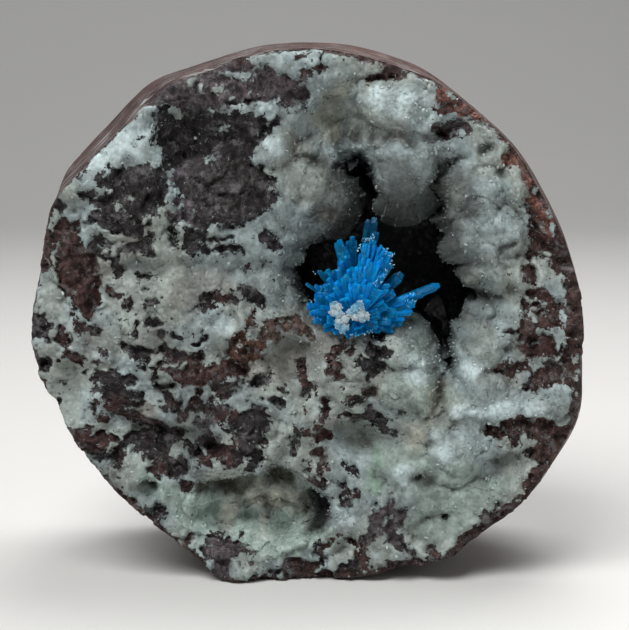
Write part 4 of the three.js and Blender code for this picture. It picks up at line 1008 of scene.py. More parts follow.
# The stone: the broken face's grid, rings of the sides hung on its rim, and the back's grid inside the
# last ring. Also the face's points and finish, with no crust where a separate one lies.
def makeBasalt():
    radius, angle, quads, rim = discGrid(basalt["grid"])
    x, depth, z, chips, room, bare, rock, crust = stoneFace(radius, angle)
    side = basalt["grid"] + 1
    skin = [np.stack([x, depth, z], -1), np.where(room > 0.05, 9, bare), crust]
    skin = [values.reshape(side, side, *values.shape[1:]) for values in skin]
    points, faces = [placed(x, depth, z)], [quads]
    finishes = [(bare, rock, crust, np.zeros(len(x)))]

    radius, angle, quads, backRim = discGrid(basalt["backGrid"])
    every = basalt["grid"] // basalt["backGrid"]
    previous, total = rim, len(x)
    for ringPoints, stone in sideRings(angle[backRim], depth[rim][::every], chips[rim][::every]):
        ring = total + np.arange(len(ringPoints))
        join = fanFaces if len(previous) > len(ring) else bandFaces
        faces.append(join(previous, ring))
        points.append(ringPoints)
        finishes.append(bareFinish(stone, 1.0))
        previous, total = ring, total + len(ring)

    inner = np.setdiff1d(np.arange(len(radius)), backRim)
    backPoints, stone = stoneBack(radius[inner], angle[inner])
    points.append(backPoints)
    finishes.append(bareFinish(stone, basalt["backSawn"]))
    numbers = np.zeros(len(radius), int)
    numbers[inner] = total + np.arange(len(inner))
    numbers[backRim] = previous
    faces.append(numbers[quads][:, ::-1])
    bare, rock, crust, sawn = (np.concatenate(column) for column in zip(*finishes))
    colours = {"rockColour": rock, "crustColour": crust}
    piece = makePiece("basaltMatrix", np.concatenate(points), faces, colours, {"bare": bare, "sawn": sawn})
    return piece, skin


# Directions of a crust's columns: spread so that each has an equal share of the way round, counted at
# a radius between mouth and edge.
def crustDirections(pit):
    fine = np.linspace(0, 360, 2881)
    weight = 0.6 * radiusBy(pit["mouth"], fine) + 0.4 * radiusBy(pit["edge"], fine)
    turned = np.concatenate([[0], np.cumsum((weight[1:] + weight[:-1]) / 2)])
    return np.interp(np.arange(pit["columns"]) / pit["columns"] * turned[-1], turned, fine)


# Catmull-Rom curve from b to c, with a before and d after them.
def curve(a, b, c, d, t):
    return 0.5 * (
        2 * b + (c - a) * t + (2 * a - 5 * b + 4 * c - d) * t**2 + (3 * b - a - 3 * c + d) * t**3
    )


# Distances from the hollow's middle and depths of a crust's rows: even steps over the collar from the
# edge to the lip, where the depth is the dish's, then curves through the throat's stations to the floor.
def crustRows(degrees, pit):
    mouth, edge = radiusBy(pit["mouth"], degrees), crustEdge(pit, degrees)
    lip = np.minimum(mouth + pit["lip"], edge - 0.1)
    steps = [edge + (lip - edge) * t for t in np.linspace(0, 1, pit["rows"][0])]
    deepest = pit["throat"][0][2] - 0.3
    dish = [np.minimum(dishDepth(reach, degrees, mouth, pit), deepest) for reach in steps]
    rows = [np.stack(row) for row in zip(steps, dish)]
    levels = [station[2] for station in pit["throat"]]
    stations = [rows[-3], np.stack([lip, rows[-1][1]])]
    throat = zip(throatReach(mouth, pit), levels)
    stations += [np.stack([reach, 0 * reach + level]) for reach, level in throat]
    across = stations[-1] * np.array([[-1], [1]])
    stations += [np.stack([0 * mouth, 0 * mouth + pit["floor"]]), across]
    for k, count in enumerate(pit["rows"][1:]):
        rows += [curve(*stations[k : k + 4], t) for t in np.arange(1, count + 1) / count]
    rows = np.array(rows[:-1])
    return rows[:, 0], rows[:, 1]


# The way that a crust's lumps stand out: towards the viewer on the collar, and along the normal in the
# throat, turned towards the hollow's middle.
def lumpWay(base, inside, pit):
    across = (np.roll(base, -1, 1) - np.roll(base, 1, 1)) / 2
    normal = np.cross(np.gradient(base, axis=0), across)
    normal /= np.linalg.norm(normal, axis=-1, keepdims=True) + 1e-9
    x, level, z = np.moveaxis(base, -1, 0)
    inwards = np.stack([pit["x"] - x, 0 * x - 6, pit["z"] - z], -1)
    normal *= np.where((normal * inwards).sum(-1) < 0, -1, 1)[..., None]
    bend = (ease((level - 3.0) / 3.5) * inside)[..., None]
    way = normal * bend + np.array([0, -1.0, 0]) * (1 - bend)
    return way / np.linalg.norm(way, axis=-1, keepdims=True)


# A hollow's crust: rows of its skin pushed out by lobes and grain, and a wall's thickness behind them a
# few rows of its back, closed by a band at the edge and by a pole at either end.
def makeCrust(name, pit):
    columns, collar = pit["columns"], pit["rows"][0]
    degrees = crustDirections(pit)
    reach, level = crustRows(degrees, pit)
    x = pit["x"] + reach * np.cos(np.radians(degrees))
    z = pit["z"] + reach * np.sin(np.radians(degrees))
    shape = x.shape
    inside = (np.arange(shape[0]) >= collar)[:, None]

    # on the collar the skin is the face's own, below the lip it is pushed along its normal
    deep = np.maximum(level - 3.2, 0)
    flat = (x.ravel(), z.ravel())
    bare, rock = rockFinish(*flat)
    gap, cleftShade = gapShade(*flat, deep.ravel())
    crust, rock = shaded(crustFinish(*flat), rock, gap * pit["creases"], cleftShade)
    bare = np.where((deep > 0.9).ravel(), -2.0, bare)
    face = faceDepth(*flat, bare, deep.ravel()).reshape(shape)
    slopes = sum(dishDepth(*aboutHollow(*flat, other)[:3], other) for other in hollows)
    push = slopes.reshape(shape) - face
    base = np.stack([x, level, z], -1)
    way = lumpWay(base, inside, pit)
    inward = 0.6 + 0.4 * (1 - ease((level - 5) / 5))
    skin = base + way * (push * np.where(inside, inward, 1.0))[..., None]
    skin[:collar, :, 1] = face[:collar] - 0.03 * (1 - np.linspace(0, 1, collar)[:, None])

    # the back: tucked in at the edge, behind the deepest skin round about on the collar, a wall's
    # thickness behind the skin in the throat
    backRows = [skin[0] + np.array([0, 0.9, 0]) + 0.2 * (skin[6] - skin[0])]
    for pick in (*range(6, collar - 6, 12), collar - 1, *(np.cumsum(pit["rows"])[1:-1] - 1)):
        row = base[pick] - way[pick] * pit["wall"]
        if pick < collar:
            row[:, 1] = skin[max(pick - 12, 0) : min(pick + 13, collar), :, 1].max(0) + 0.5
        backRows.append(row)
    rows = np.concatenate([skin, backRows])
    pole = np.array([pit["x"], pit["floor"], pit["z"]])
    poles = [pole - [0, 0.3, 0], pole + [0, pit["wall"], 0]]
    points = np.concatenate([rows.reshape(-1, 3), poles])
    rings = np.arange(rows.shape[0] * columns).reshape(-1, columns)
    front, back = rings[: shape[0]], rings[shape[0] :]
    faces = [bandFaces(a, b) for a, b in zip(front[:-1], front[1:])]
    faces += [bandFaces(b, a) for a, b in zip(back[:-1], back[1:])]
    faces.append(bandFaces(back[0], front[0]))
    faces.append(np.stack([front[-1], np.roll(front[-1], -1), np.full(columns, rings.size)], -1))
    faces.append(np.stack([np.roll(back[-1], -1), back[-1], np.full(columns, rings.size + 1)], -1))

    # painted shade and light: the crust's colour scaled by depth, by the hollow's table
    crust = crust * np.interp(level, *pit["paintedShadingByDepth"]).reshape(-1, 1)
    unseen = len(points) - len(bare)
    colours = {
        "rockColour": np.concatenate([rock, np.full((unseen, 3), 0.03)]),
        "crustColour": np.concatenate([crust, np.full((unseen, 3), 0.02)]),
    }
    values = {"bare": np.append(bare, np.full(unseen, -2.0)), "sawn": np.zeros(len(points))}
    piece = makePiece(name, placed(*points.T), faces, colours, values)
    return piece, (skin, bare.reshape(shape), crust.reshape(*shape, 3))


# Adds a node with its settings; sockets given another node's output are linked, others are set.
def addNode(tree, kind, sockets=None, **settings):
    node = tree.nodes.new("ShaderNode" + kind)
    for key, value in settings.items():
        setattr(node, key, value)
    for key, value in (sockets or {}).items():
        if isinstance(value, bpy.types.NodeSocket):
            tree.links.new(value, node.inputs[key])
        else:
            node.inputs[key].default_value = value
    return node


# A material without nodes, and its tree.
def blankMaterial(name):
    material = bpy.data.materials.new(name)
    material.use_nodes = True
    material.node_tree.nodes.clear()
    return material, material.node_tree


# The place on the object that a material's patterns read, in metres.
def placeOn(tree):
    return addNode(tree, "TexCoord").outputs["Object"]


# Values kept at the mesh's points: a number, or with "Color" a colour.
def attributeAt(tree, name, output="Fac"):
    return addNode(tree, "Attribute", attribute_name=name).outputs[output]


# One operation of a Math node.
def mathNode(tree, operation, *values):
    return addNode(tree, "Math", dict(enumerate(values)), operation=operation).outputs[0]


# Product of two values.
def times(tree, a, b):
    return mathNode(tree, "MULTIPLY", a, b)


# A value times a factor, plus another value.
def fitted(tree, value, factor, added):
    return mathNode(tree, "MULTIPLY_ADD", value, factor, added)


# One operation of a Vector Math node.
def vectorNode(tree, operation, *values):
    node = addNode(tree, "VectorMath", dict(enumerate(values)), operation=operation)
    return node.outputs["Value" if operation == "DOT_PRODUCT" else "Vector"]


# Smooth step between two values of the input, from one output to the other.
def rampNode(tree, value, low, high, outLow=0.0, outHigh=1.0):
    sockets = {"Value": value, "From Min": low, "From Max": high, "To Min": outLow, "To Max": outHigh}
    return addNode(tree, "MapRange", sockets, interpolation_type="SMOOTHSTEP").outputs["Result"]


# Two colours mixed by a factor.
def mixColour(tree, factor, a, b, blend="MIX"):
    node = addNode(tree, "Mix", data_type="RGBA", blend_type=blend)
    for key, value in (("Factor_Float", factor), ("A_Color", a), ("B_Color", b)):
        socket = next(s for s in node.inputs if s.identifier == key)
        if isinstance(value, bpy.types.NodeSocket):
            tree.links.new(value, socket)
        else:
            socket.default_value = value if isinstance(value, float) else (*value, 1)
    return next(s for s in node.outputs if s.identifier == "Result_Color")


# Two values mixed by a factor.
def mixValue(tree, factor, a, b):
    return addNode(tree, "Mix", {"Factor": factor, "A": a, "B": b}).outputs["Result"]


# A colour times a factor.
def scaledColour(tree, colour, factor):
    grey = addNode(tree, "CombineColor", {"Red": factor, "Green": factor, "Blue": factor}).outputs["Color"]
    return mixColour(tree, 1.0, colour, grey, "MULTIPLY")


# Noise whose largest waves have this size.
def noiseAt(tree, where, millimetres, detail=3.0, roughness=0.55):
    sockets = {"Vector": where, "Scale": 1000 / millimetres, "Detail": detail, "Roughness": roughness}
    return addNode(tree, "TexNoise", sockets).outputs["Fac"]


# Cells round points scattered this far apart.
def cellsAt(tree, where, millimetres):
    return addNode(tree, "TexVoronoi", {"Vector": where, "Scale": 1000 / millimetres}).outputs


# Height of crystal faces, about -0.5 to 0.5: each Voronoi cell is a plane whose tilt is the cell's
# random colour. Also that colour and the distance to the cell's middle.
def facetsAt(tree, where, millimetres):
    cell = cellsAt(tree, where, millimetres)
    away = vectorNode(tree, "SUBTRACT", where, cell["Position"])
    tilt = vectorNode(tree, "SUBTRACT", cell["Color"], (0.5, 0.5, 0.5))
    scaled = vectorNode(tree, "MULTIPLY", away, (1000 / millimetres,) * 3)
    return vectorNode(tree, "DOT_PRODUCT", scaled, tilt), cell["Color"], cell["Distance"]


# Ends a material with one principled shader, whose normal comes from a height, the height's scale in
# metres and its strength. Constant values are set on the shader's own sockets.
def endMaterial(tree, colour, roughness, bump, sockets):
    normal = addNode(tree, "Bump", dict(zip(("Height", "Distance", "Strength"), bump))).outputs["Normal"]
    sockets = {"Base Color": colour, "Roughness": roughness, "Normal": normal, **sockets}
    shader = addNode(tree, "BsdfPrincipled", sockets)
    tree.links.new(shader.outputs["BSDF"], addNode(tree, "OutputMaterial").inputs["Surface"])


stoneLook = {
    "grain": 0.42,  # size of the crust's crystal faces, in mm
    "coarseGrain": 2.2,  # the coarser ones are this much larger
    "faceHeights": (0.12, 0.14),  # relief of both
    "crustRoughness": (0.22, 0.62),
    "rockRoughness": (0.5, 0.8),
    "film": (0.175, 0.170, 0.176),  # thin pale film on the rock
    "streaks": (0.36, 0.35, 0.34),  # left by the saw on the sides
    "bubbles": (0.34, 0.36, 0.345),  # filled with zeolite
    "bubbleSpacing": 4.6,
    "bump": (0.0010, 0.9),  # height in metres, strength
    "shader": {
        "IOR": 1.5, "Specular IOR Level": 0.20, "Subsurface Weight": 0.35,
        "Subsurface Radius": (1.0, 1.0, 0.95), "Subsurface Scale": 0.0009,
    },
}


# Share of bare rock: "bare" is the distance inside it in mm, made ragged by two noises and broken by
# specks of rock in the crust and of crust in the rock. Sawn sides are rock throughout.
def rockMask(tree, where, sawn):
    ragged = fitted(tree, noiseAt(tree, where, 0.5, 4.0, 0.65), 1.5, -0.75)
    patchy = fitted(tree, noiseAt(tree, where, 1.3, 3.0, 0.65), 2.0, -1.0)
    peppered = fitted(tree, noiseAt(tree, where, 0.75, 4.0, 0.6), 26.0, -16.4)
    aside = vectorNode(tree, "ADD", where, (0.03, 0.01, 0.02))
    dusted = fitted(tree, noiseAt(tree, aside, 0.6, 5.0, 0.68), 30.0, -18.6)
    specks = (mathNode(tree, "MAXIMUM", value, 0.0) for value in (peppered, dusted))
    edge = mathNode(tree, "ADD", attributeAt(tree, "bare"), mathNode(tree, "ADD", ragged, patchy))
    edge = mathNode(tree, "ADD", edge, mathNode(tree, "SUBTRACT", *specks))
    return mathNode(tree, "MAXIMUM", rampNode(tree, edge, -0.07, 0.09), rampNode(tree, sawn, 0.3, 0.8))


# Crust: milky and glassy places, each crystal face a little lighter or darker, its joints darker. Gives
# colour, roughness, height and the milkiness.
def crustParts(tree, where):
    faces, faceColour, faceFar = facetsAt(tree, where, stoneLook["grain"])
    coarse, _, _ = facetsAt(tree, where, stoneLook["grain"] * stoneLook["coarseGrain"])
    single = addNode(tree, "SeparateColor", {"Color": faceColour}).outputs
    glint = fitted(tree, single["Red"], 0.20, 0.90)
    joints = rampNode(tree, faceFar, 0.8, 0.3, 0.92, 1.02)
    milk = rampNode(tree, noiseAt(tree, where, 2.0, 5.0, 0.6), 0.36, 0.64, 0.80, 1.18)
    lightness = times(tree, times(tree, glint, joints), milk)
    shade = scaledColour(tree, attributeAt(tree, "crustColour", "Color"), lightness)
    low, high = stoneLook["crustRoughness"]
    fine, rugged = stoneLook["faceHeights"]
    height = mathNode(tree, "ADD", times(tree, faces, fine), times(tree, coarse, rugged))
    return shade, fitted(tree, single["Green"], high - low, low), height, milk


# Sawn sides: darker blotches, and pale streaks drawn out along the saw's way round the stone, more of
# them near the front edge.
def sawnShade(tree, where, rock):
    blotch = rampNode(tree, noiseAt(tree, where, 2.6, 8.0, 0.72), 0.34, 0.68, 0.50, 1.50)
    part = addNode(tree, "SeparateXYZ", {"Vector": where}).outputs
    up = mathNode(tree, "SUBTRACT", part["Z"], 0.001 * layout["midHeight"])
    turn = mathNode(tree, "ARCTAN2", part["X"], up)
    drawn = addNode(tree, "CombineXYZ", {"X": times(tree, turn, 0.0022), "Y": part["Y"]}).outputs["Vector"]
    front = 0.001 * frontY
    edgeward = rampNode(tree, part["Y"], front + 0.002, front + 0.010, 1.0, 0.0)
    streaks = fitted(tree, edgeward, 0.06, noiseAt(tree, drawn, 0.36, 5.0, 0.62))
    few = fitted(tree, edgeward, 0.12, noiseAt(tree, where, 6.0, 4.0, 0.6))
    streaks = times(tree, rampNode(tree, streaks, 0.57, 0.66), rampNode(tree, few, 0.44, 0.62))
    streaks = times(tree, streaks, 0.75)
    return mixColour(tree, streaks, scaledColour(tree, rock, blotch), stoneLook["streaks"])


# Bubbles filled with zeolite, on the sides and more of them on the back: round cells bent by noise,
# whose size is the cell's own random number.
def bubbleMask(tree, where, sawn):
    bent = noiseAt(tree, where, 1.2, 3.0, 0.6)
    cell = cellsAt(tree, where, stoneLook["bubbleSpacing"])
    size = addNode(tree, "SeparateColor", {"Color": cell["Color"]}).outputs["Red"]
    reach = fitted(tree, size, 0.42, fitted(tree, bent, 0.3, fitted(tree, sawn, -0.16, -0.24)))
    filled = rampNode(tree, mathNode(tree, "SUBTRACT", reach, cell["Distance"]), -0.02, 0.03)
    return times(tree, filled, rampNode(tree, sawn, 0.2, 0.38))


# Rock: dark and light grains under thin pale films, the sawn sides and the bubbles. Gives colour,
# roughness and height.
def rockParts(tree, where, sawn, milk):
    rock = attributeAt(tree, "rockColour", "Color")
    mottle = noiseAt(tree, where, 0.8, 6.0, 0.72)
    shade = scaledColour(tree, rock, rampNode(tree, mottle, 0.40, 0.64, 0.38, 1.7))
    film = rampNode(tree, noiseAt(tree, where, 1.7, 8.0, 0.78), 0.515, 0.62, 0.0, 0.72)
    shade = mixColour(tree, film, shade, stoneLook["film"])
    shade = mixColour(tree, sawn, shade, sawnShade(tree, where, rock))
    filled = bubbleMask(tree, where, sawn)
    shade = mixColour(tree, filled, shade, scaledColour(tree, stoneLook["bubbles"], milk))
    low, high = stoneLook["rockRoughness"]
    fine = times(tree, noiseAt(tree, where, 0.55, 6.0, 0.7), 0.42)
    height = mathNode(tree, "ADD", fine, times(tree, mottle, 0.35))
    height = times(tree, height, mathNode(tree, "SUBTRACT", 1.0, times(tree, sawn, 0.72)))
    return shade, fitted(tree, mottle, high - low, low), fitted(tree, filled, 0.3, height)


# Crust and bare rock in one material, mixed by the share of bare rock.
def stoneMaterial(name):
    material, tree = blankMaterial(name)
    where = placeOn(tree)
    sawn = attributeAt(tree, "sawn")
    *crust, milk = crustParts(tree, where)
    rock = rockParts(tree, where, sawn, milk)
    mask = rockMask(tree, where, sawn)
    colour = mixColour(tree, mask, crust[0], rock[0])
    roughness, height = (mixValue(tree, mask, a, b) for a, b in zip(crust[1:], rock[1:]))
    endMaterial(tree, colour, roughness, (height, *stoneLook["bump"]), stoneLook["shader"])
    return material


studio = {
    "floorColour": (0.76, 0.75, 0.73),
    "floorRoughness": 0.6,
    "key": ((-0.16, -0.32, 0.46), 0.34, 3.2),  # place, size and power of each soft box
    "fill": ((0.42, -0.40, 0.16), 0.50, 0.45),
    "top": ((0.10, 0.16, 0.46), 0.30, 1.6),
    "air": ((0.9, 0.95, 1), 0.085),  # colour and strength of the light all round
    "cameraFar": 0.245,  # from the front plane, in metres
    "elevation": 7.0,
    "lens": 120.0,
    "sensor": 36,
    "aim": (0.76, 31.7),  # x and z, in mm
}


# A floor that curves up into a backdrop: a flat run, a quarter circle and an upright, carried sideways.
def makeFloor():
    bend = np.linspace(0, math.pi / 2, 13)[1:]
    along = np.concatenate([np.linspace(-0.9, 0.5, 8), 0.5 + 0.3 * np.sin(bend), np.full(3, 0.8)])
    rise = np.concatenate([np.zeros(8), 0.3 - 0.3 * np.cos(bend), 0.3 + np.linspace(0.2, 0.6, 3)])
    wide = np.linspace(-1.1, 1.1, 12)
    points = np.stack([np.repeat(wide, len(along)), np.tile(along, 12), np.tile(rise, 12) - 0.00005], -1)
    grid = np.arange(len(points)).reshape(12, -1)
    floor = makePiece("studioFloor", points, [gridFaces(grid)[:, [0, 3, 2, 1]]])
    material, tree = blankMaterial("paleFloor")
    sockets = {"Base Color": (*studio["floorColour"], 1), "Roughness": studio["floorRoughness"]}
    shader = addNode(tree, "BsdfPrincipled", sockets)
    tree.links.new(shader.outputs["BSDF"], addNode(tree, "OutputMaterial").inputs["Surface"])
    floor.data.materials.append(material)


# Puts a lamp or camera at a place in metres and turns it to look at a point.
def aimed(name, data, place, target):
    item = bpy.data.objects.new(name, data)
    item.location = place
    away = item.location - type(item.location)(target)
    item.rotation_euler = away.to_track_quat("Z", "Y").to_euler()
    bpy.context.collection.objects.link(item)
    return item


# Soft boxes round the stone, faint light from all round, and the camera a little above the middle.
def makeStudio():
    makeFloor()
    middle = placed(0, 10, 30)
    for name in ("key", "fill", "top"):
        place, size, power = studio[name]
        lamp = bpy.data.lights.new(name, "AREA")
        lamp.size, lamp.energy = size, power
        aimed(name, lamp, place, middle)
    colour, strength = studio["air"]
    world = bpy.data.worlds.new("studioAir")
    world.use_nodes = True
    background = world.node_tree.nodes["Background"].inputs
    background["Color"].default_value = (*colour, 1)
    background["Strength"].default_value = strength

    lens = bpy.data.cameras.new("camera")
    lens.lens, lens.sensor_width, lens.clip_start = studio["lens"], studio["sensor"], 0.01
    rise = math.radians(studio["elevation"])
    x, z = studio["aim"]
    aim = placed(x, 0, z)
    place = aim + studio["cameraFar"] * np.array([0, -math.cos(rise), math.sin(rise)])
    scene = bpy.context.scene
    scene.world = world
    scene.camera = aimed("camera", lens, place, aim)
    scene.view_settings.view_transform = "Standard"


makeStudio()
print("studio made")

basaltStone = stoneMaterial("basaltAndCrust")
matrixPiece, faceSkin = makeBasalt()
matrixPiece.data.materials.append(basaltStone)
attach(matrixPiece, "root")
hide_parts("basalt_matrix")
print("basalt made")

druseStone = stoneMaterial("zeoliteDruse")
vugPiece, vugSkin = makeCrust("vugCrust", hollow)
vugPiece.data.materials.append(druseStone)
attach(vugPiece, "root")
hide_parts("vug_crust")
pocketStone = stoneMaterial("pocketDruse")
pocketPiece, pocketSkin = makeCrust("pocketCrust", pocket)
pocketPiece.data.materials.append(pocketStone)
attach(pocketPiece, "root")
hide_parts("pocket_crust")
print("crusts made")


# Faces of one shape, repeated for copies of it whose points follow each other.
def repeated(faces, count, per):
    start = np.arange(count) * per
    return (faces[None] + start[:, None, None]).reshape(-1, faces.shape[1])


# Prisms standing on points, all at once: a ring of sides at the foot and one at the shoulder, both
# stretched by width and thickness, and above them a pointed or chisel-shaped end.
def prismCloud(foot, axis, side, length, width, thick, sides=4, shoulder=0.75, footShare=0.8, chisel=0.0):
    count = len(foot)
    axis = axis / np.linalg.norm(axis, axis=1, keepdims=True)
    side = side - axis * (side * axis).sum(1, keepdims=True)
    side /= np.linalg.norm(side, axis=1, keepdims=True) + 1e-9
    other = np.cross(axis, side)
    turn = np.arange(sides) / sides * 2 * math.pi
    ring = np.stack([np.cos(turn), np.sin(turn)], -1) / 2
    foot = foot[:, None, :]
    level = length[:, None, None] * axis[:, None, :]
    wide = (width[:, None] * side)[:, None, :]
    deep = (thick[:, None] * other)[:, None, :]
    spread = ring[None, :, :1] * wide + ring[None, :, 1:] * deep
    shoulders = np.broadcast_to(np.asarray(shoulder, float), count)[:, None, None]
    ridge = ((chisel * width)[:, None] * side)[:, None, :]
    ends = [foot + level + sign * 0.5 * ridge for sign in (1, -1)]
    points = np.concatenate([foot + spread * footShare, foot + level * shoulders + spread, *ends], 1)

    k = np.arange(sides)
    after = (k + 1) % sides
    nearEnd = 2 * sides + (ring[:, 0] + ring[after, 0] < 0)
    faces = [np.stack([k, after, after + sides], -1), np.stack([k, after + sides, k + sides], -1)]
    faces.append(np.stack([k + sides, after + sides, nearEnd], -1))
    faces.append(np.stack([0 * k[1:-1], k[2:], k[1:-1]], -1))
    # where the end changes along the chisel, one more face closes the roof
    change = np.flatnonzero(nearEnd != np.roll(nearEnd, -1))
    faces.append(np.stack([after[change] + sides, nearEnd[(change + 1) % sides], nearEnd[change]], -1))
    per = points.shape[1]
    return points.reshape(-1, 3), repeated(np.concatenate(faces), count, per), per


# Balls, all at once: rings of latitude between two poles, stretched by three radii and leaning to the
# right by an angle in degrees.
def ballCloud(centre, radii, lean, rows, columns):
    fromTop = np.arange(1, rows) / rows * math.pi
    around = np.arange(columns) / columns * 2 * math.pi
    lat, lon = np.meshgrid(fromTop, around, indexing="ij")
    ball = np.stack([np.sin(lat) * np.cos(lon), np.sin(lat) * np.sin(lon), np.cos(lat)], -1)
    ball = np.concatenate([ball.reshape(-1, 3), [[0, 0, 1], [0, 0, -1]]])
    spread = ball[None] * radii[:, None, :]
    turn = np.radians(lean)[:, None]
    x = spread[..., 0] * np.cos(turn) + spread[..., 2] * np.sin(turn)
    z = spread[..., 2] * np.cos(turn) - spread[..., 0] * np.sin(turn)
    points = centre[:, None, :] + np.stack([x, spread[..., 1], z], -1)
    grid = np.arange((rows - 1) * columns).reshape(rows - 1, columns)
    quads = np.concatenate([bandFaces(grid[r + 1], grid[r]) for r in range(rows - 2)])
    top = np.stack([grid[0], np.roll(grid[0], -1), np.full(columns, grid.size)], -1)
    bottom = np.stack([np.roll(grid[-1], -1), grid[-1], np.full(columns, grid.size + 1)], -1)
    per = len(ball)
    faces = (repeated(part, len(centre), per) for part in (quads, np.concatenate([top, bottom])))
    return points.reshape(-1, 3), *faces, per


